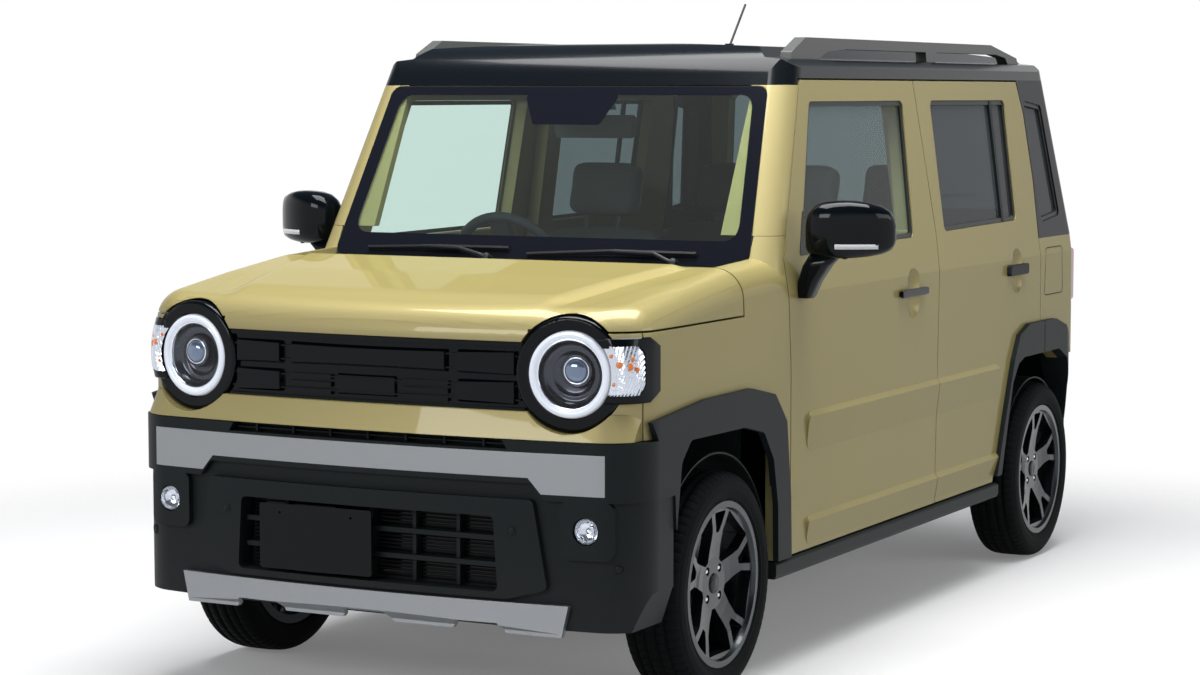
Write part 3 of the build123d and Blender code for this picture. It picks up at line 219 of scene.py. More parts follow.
def make_materials(looks):
    """Every finish of the car, by slot name or by a name of its own."""
    EFFECTS.update(grain=bump_grain_group(), edge=soft_edge_group(), dust=road_dust_group())
    face, edge = tuple(looks.paint_face), tuple(looks.paint_edge)
    MATERIALS.update(
        paint=body_paint("Sand Pearl Paint", face, edge),
        pillar_paint=body_paint("Sand Pearl With Black Pillar", face, edge, PILLAR_FROM),
        rubber=finish("Seal Rubber", (0.008, 0.009, 0.010), 0.45, shine=0.3,
                      grain=(600.0, 0.0002, 0.2)),
        frit=finish("Glass Border", (0.005, 0.006, 0.010), 0.10, shine=0.4),
        void=finish("Deep Black", (0.002, 0.002, 0.002), 0.9),
        machined=finish("Bright Metal", (0.62, 0.62, 0.63), 0.22, metal=1.0, edge=0.001),
        machined_dark=finish("Turned Iron", (0.22, 0.22, 0.22), 0.35, metal=1.0,
                             grain=(300.0, 0.0001, 0.2)),
        chrome=finish("Chrome", (0.85, 0.86, 0.88), 0.06, metal=1.0, edge=0.0005),
        reflector=finish("Reflector", (0.72, 0.74, 0.77), 0.14, metal=0.9,
                         grain=(120.0, 0.002, 0.5)),
        ring_white=finish("Lamp Ring", (0.86, 0.88, 0.92), 0.25, coat=0.6, glow=0.25),
        lamp_inner=finish("Lamp Bowl", (0.055, 0.058, 0.066), 0.18, metal=0.8, edge=0.0008),
        projector=finish("Projector Lens", (0.16, 0.21, 0.30), 0.03, metal=0.55, coat=1.0),
        orange=finish("Turn Bulb", (0.85, 0.22, 0.03), 0.2, coat=0.8, glow=0.1),
        indicator=finish("Indicator Strip", (0.62, 0.64, 0.66), 0.15, coat=1.0),
        mirror_glass=finish("Mirror Glass", (0.8, 0.82, 0.84), 0.02, metal=1.0),
        roof_black=finish("Roof Black", tuple(looks.roof_color), 0.18, coat=0.12, shine=0.12,
                          edge=0.002),
        gloss_black=finish("Gloss Black", (0.0015, 0.003, 0.0045), 0.10, coat=0.16, shine=0.08,
                           edge=0.0015),
        dark_plastic=finish("Moulded Dark Plastic", (0.0085, 0.0115, 0.0125), 0.50, shine=0.12,
                            grain=(900.0, 0.0003, 0.35), dust=0.08),
        silver_trim=finish("Silver Trim", (0.27, 0.285, 0.30), 0.36, metal=0.8, coat=0.15,
                           edge=0.0015),
        rail_grey=finish("Rail Grey", (0.050, 0.053, 0.050), 0.4, shine=0.35, edge=0.002),
        glass=window_pane("Green Tint Glass", (0.88, 0.945, 0.925), 0.0),
        dark_glass=window_pane("Privacy Glass", (0.36, 0.40, 0.42), 0.09),
        lamp_glass=window_pane("Lamp Cover", (0.94, 0.96, 1.0), 0.0),
        tail_red=finish("Tail Lamp Red", (0.22, 0.008, 0.012), 0.12, coat=1.0),
        tyre=finish("Tyre Rubber", (0.0040, 0.0050, 0.0055), 0.70, shine=0.05,
                    grain=(500.0, 0.0003, 0.3), dust=0.03),
        wheel_metal=finish("Wheel Metal", (0.026, 0.031, 0.035), 0.26, metal=0.85, coat=0.25,
                           edge=0.0015),
        cabin_plastic=finish("Cabin Plastic", (0.028, 0.037, 0.040), 0.6, shine=0.3,
                             grain=(700.0, 0.0003, 0.3)),
        seat_fabric=finish("Woven Upholstery", (0.036, 0.045, 0.049), 0.85,
                           grain=(1500.0, 0.0006, 0.7)),
        chassis_steel=finish("Chassis Steel", (0.022, 0.022, 0.022), 0.6, dust=0.1),
        engine_metal=finish("Engine Metal", (0.22, 0.22, 0.23), 0.5, metal=0.6),
    )


# Mesh helpers. A part is its vertices and its faces.

def mesh_piece(name, part, material, body=BODY, smooth=False, stands_for=()):
    """One mesh object that rides on a body."""
    verts, faces = part
    mesh = bpy.data.meshes.new(name)
    mesh.from_pydata([tuple(v) for v in verts], [], faces)
    mesh.validate()
    mesh.update()
    if smooth:
        mesh.shade_smooth()
    mesh.materials.append(MATERIALS[material])
    piece = bpy.data.objects.new(name, mesh)
    bpy.context.scene.collection.objects.link(piece)
    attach(piece, body)
    if stands_for:
        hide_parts(*stands_for)
    return piece


def axis_frame(direction):
    """Two unit vectors square to a direction, the first near level."""
    along = Vector(direction).normalized()
    helper = Vector((0, 0, 1)) if abs(along.z) < 0.9 else Vector((0, 1, 0))
    across = helper.cross(along).normalized()
    return across, along.cross(across).normalized(), along


def lathe(profile, centre, direction, steps=64):
    """Part from a profile (radius, reach) turned about an axis."""
    across, upward, along = axis_frame(direction)
    verts, faces = [], []
    for i in range(steps):
        angle = math.radians(360.0 * i / steps)
        spoke = across * math.cos(angle) + upward * math.sin(angle)
        for radius, reach in profile:
            verts.append(Vector(centre) + spoke * radius + along * reach)
    size = len(profile)
    for i in range(steps):
        near, far = i * size, ((i + 1) % steps) * size
        for k in range(size - 1):
            faces.append((near + k, near + k + 1, far + k + 1, far + k))
    return verts, faces


def joined(*parts):
    """Several parts as one."""
    verts, faces = [], []
    for more_verts, more_faces in parts:
        base = len(verts)
        verts.extend(more_verts)
        faces.extend(tuple(i + base for i in face) for face in more_faces)
    return verts, faces


def box_part(low, high):
    """A square block between two corners."""
    (x0, y0, z0), (x1, y1, z1) = low, high
    verts = [(x0, y0, z0), (x1, y0, z0), (x1, y1, z0), (x0, y1, z0),
             (x0, y0, z1), (x1, y0, z1), (x1, y1, z1), (x0, y1, z1)]
    faces = [(3, 2, 1, 0), (4, 5, 6, 7), (0, 1, 5, 4), (1, 2, 6, 5), (2, 3, 7, 6), (3, 0, 4, 7)]
    return verts, faces


def rounded_loop(corners, radius, steps=6):
    """Flat outline (u, v) with each corner rounded."""
    loop = []
    count = len(corners)
    for i, corner in enumerate(corners):
        here = Vector(corner)
        back, ahead = Vector(corners[i - 1]) - here, Vector(corners[(i + 1) % count]) - here
        half = back.angle(ahead) / 2
        cut = min(radius / math.tan(half), back.length * 0.45, ahead.length * 0.45)
        start, end = here + back.normalized() * cut, here + ahead.normalized() * cut
        for k in range(steps + 1):
            t = k / steps
            loop.append(start.lerp(here, t).lerp(here.lerp(end, t), t))
    return loop


def inset_loop(loop, amount):
    """Closed flat outline moved inward by an amount."""
    area = sum(a.x * b.y - b.x * a.y for a, b in zip(loop, loop[1:] + loop[:1]))
    turn = 1 if area > 0 else -1
    moved = []
    for i, here in enumerate(loop):
        along = loop[(i + 1) % len(loop)] - loop[i - 1]
        if along.length < 1e-9:
            moved.append(here.copy())
            continue
        inward = Vector((-along.y, along.x)).normalized() * turn
        moved.append(here + inward * amount)
    return moved


def ribbon(*loops):
    """Skin through closed outlines of the same length, in order."""
    size = len(loops[0])
    verts = [point for loop in loops for point in loop]
    faces = [(r * size + i, r * size + (i + 1) % size, (r + 1) * size + (i + 1) % size,
              (r + 1) * size + i) for r in range(len(loops) - 1) for i in range(size)]
    return verts, faces


def sheet(rows, skipped=lambda row, place: False):
    """Open skin through rows of points of the same length, less the skipped faces."""
    size = len(rows[0])
    verts = [point for row in rows for point in row]
    faces = [(r * size + k, r * size + k + 1, (r + 1) * size + k + 1, (r + 1) * size + k)
             for r in range(len(rows) - 1) for k in range(size - 1) if not skipped(r, k)]
    return verts, faces


def bar(loops):
    """Skin through closed outlines, with both ends closed."""
    verts, faces = ribbon(*loops)
    size = len(loops[0])
    return verts, faces + [tuple(range(size))[::-1], tuple(range(len(verts) - size, len(verts)))]


def flat_face(points):
    """One face over an outline."""
    return points, [tuple(range(len(points)))]


def tube(points, radius, sides=8):
    """Round bar along points."""
    points = [Vector(p) for p in points]
    loops, last = [], len(points) - 1
    for i, here in enumerate(points):
        across, upward, _ = axis_frame(points[min(i + 1, last)] - points[max(i - 1, 0)])
        angles = [2 * math.pi * k / sides for k in range(sides)]
        loops.append([here + (across * math.cos(a) + upward * math.sin(a)) * radius
                      for a in angles])
    return bar(loops)


def swept(stations, along, power=3.0, sides=28):
    """Closed smooth body through superellipse sections.

    Each station is (place along the axis, low u, high u, low v, high v).
    """
    loops = []
    for place, u0, u1, v0, v1 in stations:
        loop = []
        for k in range(sides):
            a = 2 * math.pi * k / sides
            cu, su = math.cos(a), math.sin(a)
            u = (u0 + u1) / 2 + (u1 - u0) / 2 * math.copysign(abs(cu) ** (2 / power), cu)
            v = (v0 + v1) / 2 + (v1 - v0) / 2 * math.copysign(abs(su) ** (2 / power), su)
            loop.append({"x": (place, u, v), "y": (u, place, v), "z": (u, v, place)}[along])
        loops.append(loop)
    return bar(loops)


def turned(part, hand):
    """The same part on the left (1) or the right (-1)."""
    verts, faces = part
    return [(hand * x, y, z) for x, y, z in verts], faces


def side_x(z):
    """Half width of the door skin at a height, in metres."""
    return 0.722 - 0.13 * max(0.0, z - 0.997)


def screen_y(z):
    """Windscreen plane at a height, in metres."""
    return -0.812 + 0.509 * (z - 1.084)


class KeiCarLooks(bpy.types.PropertyGroup):
    """Colours of the car that a user would change."""
    paint_face: bpy.props.FloatVectorProperty(
        name="Paint Face", description="Body colour seen square on", subtype="COLOR", size=3,
        min=0.0, max=1.0, default=(0.365, 0.312, 0.150))
    paint_edge: bpy.props.FloatVectorProperty(
        name="Paint Edge", description="Body colour where a panel turns away", subtype="COLOR",
        size=3, min=0.0, max=1.0, default=(0.180, 0.152, 0.045))
    roof_color: bpy.props.FloatVectorProperty(
        name="Roof", description="Colour of the roof panel", subtype="COLOR", size=3,
        min=0.0, max=1.0, default=(0.0035, 0.005, 0.007))


class KeiCarSizes(bpy.types.PropertyGroup):
    """Sizes of trim that a user would change."""
    groove_depth: bpy.props.FloatProperty(
        name="Groove Depth", description="Depth of the tyre's long grooves", subtype="DISTANCE",
        unit="LENGTH", default=0.006, min=0.001, max=0.010)
    bonnet_rise: bpy.props.FloatProperty(
        name="Bonnet Rise", description="Height of the bonnet's raised middle",
        subtype="DISTANCE", unit="LENGTH", default=0.014, min=0.0, max=0.020)
    seal_width: bpy.props.FloatProperty(
        name="Seal Width", description="Width of the rubber round the side windows",
        subtype="DISTANCE", unit="LENGTH", default=0.014, min=0.004, max=0.040)


class KeiCarStage(bpy.types.PropertyGroup):
    """Camera and lamp levels."""
    lens: bpy.props.FloatProperty(
        name="Lens", description="Focal length of the camera in millimetres",
        subtype="DISTANCE_CAMERA", default=84.09, min=20.0, max=300.0)
    top_power: bpy.props.FloatProperty(
        name="Top Lamp", description="Power of the overhead softbox", subtype="POWER",
        default=520.0, min=0.0)
    side_power: bpy.props.FloatProperty(
        name="Side Lamp", description="Power of the side softbox", subtype="POWER",
        default=95.0, min=0.0)
    front_power: bpy.props.FloatProperty(
        name="Front Lamp", description="Power of the front softbox", subtype="POWER",
        default=180.0, min=0.0)


class KEI_OT_dress_frame(bpy.types.Operator):
    """Give every CAD node its finish"""
    bl_idname = "kei.dress_frame"
    bl_label = "Dress Frame"

    def execute(self, context):
        make_materials(context.scene.kei_looks)
        slots = {row["node"]: row["material_slot"] for row in frame["record"]["subparts"]}
        for name, node in NODES.items():
            node.data.materials.clear()
            dressed = "pillar_paint" if name.startswith("body_side") else slots[name]
            node.data.materials.append(MATERIALS[dressed])
        return {"FINISHED"}


# Wheels

WHEELS = (
    # name, hub x, hub y
    ("front_left", 0.6475, -1.130), ("front_right", -0.6475, -1.130),
    ("rear_left", 0.6475, 1.330), ("rear_right", -0.6475, 1.330),
)
HUB_Z = 0.288
TYRE_STEPS = 432
BLOCK_STEPS = 6
CUT_DEPTH = 0.004
NUT_CIRCLE = 0.050
CAP_PROFILE = ((0.0, 0.0500), (0.020, 0.0495), (0.0255, 0.0480), (0.0265, 0.0440))
NUT_PROFILE = ((0.0, 0.0455), (0.004, 0.0450), (0.0075, 0.0420), (0.0085, 0.0300),
               (0.0085, 0.0180))
NUT_WELL_PROFILE = ((0.0108, 0.0300), (0.0108, 0.0110), (0.0, 0.0110))
DISC_PROFILE = ((0.0, 0.0030), (0.058, 0.0030), (0.060, -0.0060), (0.116, -0.0060),
                (0.118, -0.0080), (0.118, -0.0160), (0.116, -0.0180), (0.060, -0.0180))


def wheel_body(name):
    """Body that a wheel's pieces ride on."""
    row, side = name.split("_")
    return f"{row}_wheel_{side}"


class KEI_OT_tyres(bpy.types.Operator):
    """Build the tyres with grooves, shoulder cuts and sidewall rings"""
    bl_idname = "kei.tyres"
    bl_label = "Tyres"

    def execute(self, context):
        groove = context.scene.kei_sizes.groove_depth
        profile = [
            # reach from the middle towards the outside, radius, kind of cross cut
            (0.0705, 0.2005, 0), (0.0700, 0.2120, 0), (0.0735, 0.2150, 0), (0.0780, 0.2175, 0),
            (0.0795, 0.2210, 0), (0.0782, 0.2232, 0), (0.0798, 0.2270, 0), (0.0815, 0.2400, 0),
            (0.0820, 0.2480, 0), (0.0812, 0.2500, 0), (0.0818, 0.2520, 0), (0.0800, 0.2600, 0),
            (0.0780, 0.2650, 0), (0.0765, 0.2665, 0), (0.0768, 0.2690, 1), (0.0735, 0.2745, 1),
            (0.0690, 0.2795, 1), (0.0620, 0.2835, 1), (0.0530, 0.2860, 1), (0.0470, 0.2866, 1),
            (0.0460, 0.2866 - groove, 0), (0.0400, 0.2870 - groove, 0), (0.0390, 0.2872, 0),
            (0.0260, 0.2878, 2), (0.0200, 0.2879, 2), (0.0190, 0.2879 - groove, 0),
            (0.0120, 0.2880 - groove, 0), (0.0110, 0.2880, 0), (0.0, 0.2880, 2),
        ]
        ring = [(r, x, cut) for x, r, cut in profile]
        ring += [(r, -x, cut) for x, r, cut in reversed(profile[:-1])]
        cut_at = {1: 0, 2: BLOCK_STEPS // 2}
        size = len(ring)
        for name, hub_x, hub_y in WHEELS:
            verts, faces = [], []
            for i in range(TYRE_STEPS):
                angle = 2 * math.pi * i / TYRE_STEPS
                for radius, reach, cut in ring:
                    r = radius - (CUT_DEPTH if i % BLOCK_STEPS == cut_at.get(cut) else 0.0)
                    verts.append((hub_x + reach, hub_y + r * math.cos(angle),
                                  HUB_Z + r * math.sin(angle)))
                near, far = i * size, ((i + 1) % TYRE_STEPS) * size
                for k in range(size - 1):
                    faces.append((near + k, far + k, far + k + 1, near + k + 1))
            mesh_piece(f"tyre_tread_{name}", (verts, faces), "tyre", wheel_body(name),
                       smooth=True, stands_for=(f"tyre_{name}",))
        return {"FINISHED"}


class KEI_OT_wheel_details(bpy.types.Operator):
    """Add wheel nuts, bare centre caps, valves and brake discs"""
    bl_idname = "kei.wheel_details"
    bl_label = "Wheel Details"

    def execute(self, context):
        for name, hub_x, hub_y in WHEELS:
            out, body = math.copysign(1.0, hub_x), wheel_body(name)
            centre, axle = Vector((hub_x, hub_y, HUB_Z)), Vector((out, 0, 0))
            mesh_piece(f"centre_cap_{name}", lathe(CAP_PROFILE, centre, axle, 40),
                       "gloss_black", body, smooth=True)
            nuts = []
            for k in range(4):
                angle = math.radians(45 + 90 * k)
                place = centre + Vector((0, NUT_CIRCLE * math.cos(angle),
                                         NUT_CIRCLE * math.sin(angle)))
                nuts += [lathe(NUT_PROFILE, place, axle, 6),
                         lathe(NUT_WELL_PROFILE, place, axle, 20)]
            mesh_piece(f"wheel_nuts_{name}", joined(*nuts), "machined", body)
            valve = tube([centre + Vector((out * 0.050, 0.150, 0.090)),
                          centre + Vector((out * 0.062, 0.146, 0.087))], 0.0035)
            mesh_piece(f"valve_{name}", valve, "gloss_black", body)
            mesh_piece(f"brake_disc_{name}", lathe(DISC_PROFILE, centre, axle, 72),
                       "machined_dark", body)
        return {"FINISHED"}


# Lamps

LAMP_TOE = math.radians(7.0)
LAMP_X, LAMP_Y, LAMP_Z = 0.547, -1.630, 0.857
RING_REACH = 0.110
LAMP_RINGS = (
    # piece, finish, profile (radius, reach) about the lamp's axis
    ("lamp_ring", "ring_white", ((0.1060, -0.0100), (0.1045, -0.0020), (0.1010, 0.0022),
                                 (0.0950, 0.0030), (0.0890, 0.0015), (0.0855, -0.0040))),
    ("lamp_ring_edge", "chrome", ((0.0855, -0.0040), (0.0835, -0.0030), (0.0815, -0.0060),
                                  (0.0800, -0.0120))),
    ("lamp_bowl", "lamp_inner", ((0.0800, -0.0120), (0.0760, -0.0200), (0.0700, -0.0280),
                                 (0.0600, -0.0320), (0.0560, -0.0290), (0.0540, -0.0330),
                                 (0.0440, -0.0370), (0.0, -0.0375))),
)
PROJECTOR_RINGS = (
    # piece, finish, profile (radius, reach) about the projector's axis
    ("projector_collar", "lamp_inner", ((0.0420, -0.0365), (0.0400, -0.0240), (0.0360, -0.0210),
                                        (0.0330, -0.0230), (0.0320, -0.0280))),
    ("projector_rim", "chrome", ((0.0330, -0.0225), (0.0318, -0.0200), (0.0300, -0.0215))),
    ("projector_lens", "projector", ((0.0305, -0.0240), (0.0290, -0.0180), (0.0240, -0.0130),
                                     (0.0160, -0.0095), (0.0080, -0.0080), (0.0, -0.0076))),
)
COVER_PROFILE = ((0.0, 0.0115), (0.03, 0.0112), (0.06, 0.0100), (0.085, 0.0075),
                 (0.099, 0.0040), (0.1055, -0.0010), (0.1065, -0.0060))
TURN_ROUTE = ((0.650, -1.6235), (0.672, -1.6230), (0.690, -1.6120), (0.704, -1.5910),
              (0.715, -1.5640), (0.7225, -1.5320), (0.7255, -1.4990))
TURN_STEPS, TURN_LENS_STEPS = 30, 21
TURN_Z, TURN_HALF, TURN_LENS_HALF = 0.8695, 0.079, 0.0595
TURN_BULBS = (
    # share of the lens, height, radius
    (0.30, 0.885, 0.0085), (0.58, 0.880, 0.0100), (0.80, 0.872, 0.0075),
    (0.70, 0.898, 0.0060), (0.12, 0.905, 0.0050), (0.12, 0.838, 0.0050),
)


def turn_half_height(share, full, cut):
    """Half height of the turn lamp at a share of its length, tapered past the cut."""
    return full - max(0.0, share - cut) / (1 - cut) * 0.022


def turn_line():
    """Smoothed line that the turn lamp follows round the corner."""
    line = []
    for i in range(TURN_STEPS + 1):
        t = i / TURN_STEPS * (len(TURN_ROUTE) - 1)
        k = min(int(t), len(TURN_ROUTE) - 2)
        line.append(Vector(TURN_ROUTE[k]).lerp(Vector(TURN_ROUTE[k + 1]), t - k))
    for _ in range(3):
        line[1:-1] = [(a + b * 2 + c) / 4 for a, b, c in zip(line, line[1:], line[2:])]
    return line


class KEI_OT_headlamps(bpy.types.Operator):
    """Build the ring lamps, projectors and turn lamps"""
    bl_idname = "kei.headlamps"
    bl_label = "Headlamps"

    def execute(self, context):
        for side, hand in SIDES:
            centre = Vector((hand * LAMP_X, LAMP_Y, LAMP_Z))
            ahead = Vector((hand * math.sin(LAMP_TOE), -math.cos(LAMP_TOE), 0))
            across = Vector((math.cos(LAMP_TOE), hand * math.sin(LAMP_TOE), 0))
            eye = centre + across * hand * 0.010 + Vector((0, 0, 0.008))
            mesh_piece(f"lamp_cover_{side}", lathe(COVER_PROFILE, centre, ahead, 96),
                       "lamp_glass", smooth=True, stands_for=("headlamps",))
            for rings, place, steps in ((LAMP_RINGS, centre, 96), (PROJECTOR_RINGS, eye, 64)):
                for name, material, profile in rings:
                    mesh_piece(f"{name}_{side}", lathe(profile, place, ahead, steps), material,
                               smooth=True)
            self.turn_lamp(side, hand, turn_line())
        return {"FINISHED"}

    def turn_lamp(self, side, hand, line):
        """Black housing wrapped round the corner with a clear cover, bright back and bulbs."""
        def at(i, z, depth):
            """Place on the wrapped line, at a height, set in by a depth."""
            here = line[i]
            along = (line[min(i + 1, TURN_STEPS)] - line[max(i - 1, 0)]).normalized()
            ring = RING_REACH ** 2 - (z - LAMP_Z) ** 2
            start = (LAMP_X + math.sqrt(ring) if ring > 0 else LAMP_X) - 0.6515
            shift = start * (1 - i / TURN_STEPS) ** 2
            return Vector((hand * (here.x + shift - along.y * depth),
                           here.y - shift * 0.12 + along.x * depth, z))

        housing = []
        for i in range(TURN_STEPS + 1):
            full = turn_half_height(i / TURN_STEPS, TURN_HALF, 0.80)
            lens = 0.045
            if i <= TURN_LENS_STEPS:
                lens = turn_half_height(i / TURN_LENS_STEPS, TURN_LENS_HALF, 0.85)
            housing.append([at(i, TURN_Z + up, depth) for up, depth in (
                (-full, 0.014), (-full, 0.003), (-full + 0.003, 0.0), (-lens, 0.0),
                (lens, 0.0), (full - 0.003, 0.0), (full, 0.003), (full, 0.014))])
        hollow = sheet(housing, lambda i, k: k == 3 and i < TURN_LENS_STEPS)
        mesh_piece(f"turn_housing_{side}", hollow, "gloss_black")
        cover, back, steps = [], [], 12
        for i in range(TURN_LENS_STEPS + 1):
            share = i / TURN_LENS_STEPS
            lens = turn_half_height(share, TURN_LENS_HALF, 0.85)
            outer, inner = [], []
            for k in range(steps + 1):
                z = TURN_Z - lens + 2 * lens * k / steps
                bulge = 0.0022 * (1 - abs(2 * k / steps - 1) ** 6)
                bulge *= 1 - abs(2 * share - 1) ** 8
                facet = 0.0016 * ((i + k) % 2)
                outer.append(at(i, z, -bulge))
                inner.append(at(i, z, 0.0028 + facet))
            cover.append(outer)
            back.append(inner)
        verts, faces = sheet(cover)
        if hand < 0:
            faces = [face[::-1] for face in faces]
        mesh_piece(f"turn_cover_{side}", (verts, faces), "lamp_glass", smooth=True)
        mesh_piece(f"turn_reflector_{side}", sheet(back), "reflector")
        bulbs = [lathe([(0.0, 0.0022), (size * 0.5, 0.0018), (size * 0.9, 0.0006),
                        (size, -0.001)], at(int(TURN_LENS_STEPS * share), z, 0.0030),
                       (hand * 0.35, -1, 0), 16) for share, z, size in TURN_BULBS]
        mesh_piece(f"turn_bulbs_{side}", joined(*bulbs), "orange", smooth=True)


FOG_PIECES = (
    ("fog_bowl", "reflector", 48, None, ("fog_lamps",),
     ((0.0335, 0.0), (0.0315, -0.006), (0.026, -0.016), (0.015, -0.022), (0.0, -0.024))),
    ("fog_lens", "lamp_glass", 48, "lamp_glass", (),
     ((0.0, 0.0045), (0.012, 0.0040), (0.024, 0.0022), (0.0315, -0.001), (0.0335, -0.004))),
    ("fog_shield", "chrome", 24, None, (),
     ((0.0, -0.006), (0.007, -0.007), (0.009, -0.012), (0.009, -0.022))),
    ("fog_trim", "gloss_black", 48, None, (),
     ((0.0338, -0.004), (0.0338, 0.002), (0.0322, 0.0032), (0.0308, 0.0015))),
)


class KEI_OT_fog_lamps(bpy.types.Operator):
    """Build the fog lamps with bowl, bulb shield and lens"""
    bl_idname = "kei.fog_lamps"
    bl_label = "Fog Lamps"

    def execute(self, context):
        for side, hand in SIDES:
            for name, material, steps, slot, nodes, profile in FOG_PIECES:
                part = lathe(profile, (hand * 0.606, -1.6530, 0.487), (0, -1, 0), steps)
                mesh_piece(f"{name}_{side}", part, material, smooth=True,
                           stands_for=nodes)
        return {"FINISHED"}


# Front trim

SENSORS = (
    # x, y, z, share that the face turns outward
    (0.415, -1.6795, 0.479, 0.09), (0.677, -1.6228, 0.397, 0.42),
)
SENSOR_PROFILE = ((0.0, 0.0018), (0.0085, 0.0018), (0.0092, 0.0008), (0.0098, -0.0020),
                  (0.0108, -0.0020), (0.0125, 0.0012), (0.0140, 0.0006), (0.0146, -0.0030))
FIN_COUNT, FIN_PITCH, FIN_LOW, FIN_THICK = 20, 0.0092, 0.334, 0.0032
SLAT_POST_PITCH = 0.11


class KEI_OT_front_trim(bpy.types.Operator):
    """Add intake fins, vent slats and sensors"""
    bl_idname = "kei.front_trim"
    bl_label = "Front Trim"

    def execute(self, context):
        heights = [FIN_LOW + k * FIN_PITCH for k in range(FIN_COUNT)]
        fins = [box_part((-0.362, -1.6255, z), (0.362, -1.6185, z + FIN_THICK)) for z in heights]
        mesh_piece("intake_fins", joined(*fins), "gloss_black")
        # A deep black sheet just behind the fins: painted shade standing in for the dark inside of
        # the intake.
        mesh_piece("intake_painted_shade",
                   box_part((-0.366, -1.6188, 0.326), (0.366, -1.6182, 0.514)), "void")
        slats = [box_part((-0.392, -1.6600, 0.684), (0.392, -1.6440, 0.687)),
                 box_part((-0.386, -1.6560, 0.6935), (0.386, -1.6440, 0.6965))]
        for k in range(-3, 4):
            slats.append(box_part((k * SLAT_POST_PITCH - 0.003, -1.664, 0.677),
                                  (k * SLAT_POST_PITCH + 0.003, -1.644, 0.699)))
        mesh_piece("vent_slats", joined(*slats), "dark_plastic")
        sensors = [lathe(SENSOR_PROFILE, (hand * x, y, z), (hand * slant, -1, 0), 32)
                   for _, hand in SIDES for x, y, z, slant in SENSORS]
        mesh_piece("parking_sensors", joined(*sensors), "dark_plastic", smooth=True)
        return {"FINISHED"}


# Glass trim

SIDE_WINDOWS = (
    # name, body stem, outline (y, z)
    ("front", "front_door", ((-0.624, 1.098), (-0.456, 1.504), (0.235, 1.504), (0.205, 1.105))),
    ("rear", "rear_door", ((0.459, 1.111), (0.455, 1.504), (1.121, 1.503), (1.114, 1.119))),
    ("quarter", BODY, ((1.362, 1.103), (1.318, 1.300), (1.307, 1.502), (1.474, 1.485),
                       (1.547, 1.121))),
)
SCREEN_BORDER = (
    # corners (x, z), corner radius
    (((-0.643, 1.074), (0.643, 1.074), (0.589, 1.544), (-0.589, 1.544)), 0.030),
    (((-0.598, 1.136), (0.598, 1.136), (0.552, 1.522), (-0.552, 1.522)), 0.045),
)
CAMERA_PATCH = ((-0.105, 1.440), (0.105, 1.440), (0.150, 1.524), (-0.150, 1.524))


class KEI_OT_window_seals(bpy.types.Operator):
    """Add rubber seals round the side windows and a black border on the windscreen"""
    bl_idname = "kei.window_seals"
    bl_label = "Window Seals"

    def execute(self, context):
        width = context.scene.kei_sizes.seal_width
        for name, stem, outline in SIDE_WINDOWS:
            edge = rounded_loop(outline, 0.022)
            lip, near = inset_loop(edge, 0.0008), inset_loop(edge, 0.003)
            far = inset_loop(edge, width)
            for side, hand in SIDES:
                def set_in(loop, depth):
                    return [(hand * (side_x(p.y) - depth), p.x, p.y) for p in loop]

                seal = joined(ribbon(set_in(lip, 0.0035), set_in(near, 0.0035)),
                              ribbon(set_in(near, 0.0045), set_in(far, 0.0045)),
                              ribbon(set_in(far, 0.0045), set_in(far, 0.0118)))
                mesh_piece(f"{name}_window_seal_{side}", seal, "rubber",
                           stem if stem == BODY else f"{stem}_{side}")

        def on_screen(loop, depth):
            return [(p.x, screen_y(p.y) + depth, p.y) for p in loop]

        border = [on_screen(rounded_loop(*row), -0.0008) for row in SCREEN_BORDER]
        mesh_piece("windscreen_border", ribbon(*border), "frit")
        patch = on_screen(rounded_loop(CAMERA_PATCH, 0.012), -0.0006)
        mesh_piece("camera_patch", flat_face(patch), "frit")
        return {"FINISHED"}


WIPERS = (
    # name, pivot x, arm bend x, blade start (x, z), blade end (x, z)
    ("near", 0.430, 0.33, (0.49, 1.103), (-0.02, 1.090)),
    ("far", -0.140, -0.27, (-0.08, 1.104), (-0.53, 1.096)),
)
WIPER_KNOB = ((0.0, 0.010), (0.010, 0.008), (0.012, 0.0), (0.012, -0.012))


class KEI_OT_wipers(bpy.types.Operator):
    """Build the windscreen wipers with arms and blades"""
    bl_idname = "kei.wipers"
    bl_label = "Wipers"

    def execute(self, context):
        def at(x, z, lift):
            return Vector((x, screen_y(z) - lift, z))

        for name, pivot_x, bend_x, (x0, z0), (x1, z1) in WIPERS:
            arm = tube([at(pivot_x, 1.079, 0.020), at(pivot_x - 0.02, 1.086, 0.024),
                        at(bend_x + 0.04, 1.101, 0.022), at(bend_x - 0.08, 1.103, 0.016)], 0.0055)
            blade = tube([at(x0, z0, 0.008), at((x0 + x1) / 2, 1.104, 0.013), at(x1, z1, 0.008)],
                         0.0055, 6)
            rubber = tube([at(x0, z0 - 0.006, 0.003), at(x1, z1 - 0.006, 0.003)], 0.0028, 5)
            knob = lathe(WIPER_KNOB, at(pivot_x, 1.079, 0.016), (0, -0.89, 0.45), 20)
            mesh_piece(f"wiper_{name}", joined(arm, blade, rubber, knob), "rubber",
                       stands_for=("wipers",))
        return {"FINISHED"}


# Mirrors and handles

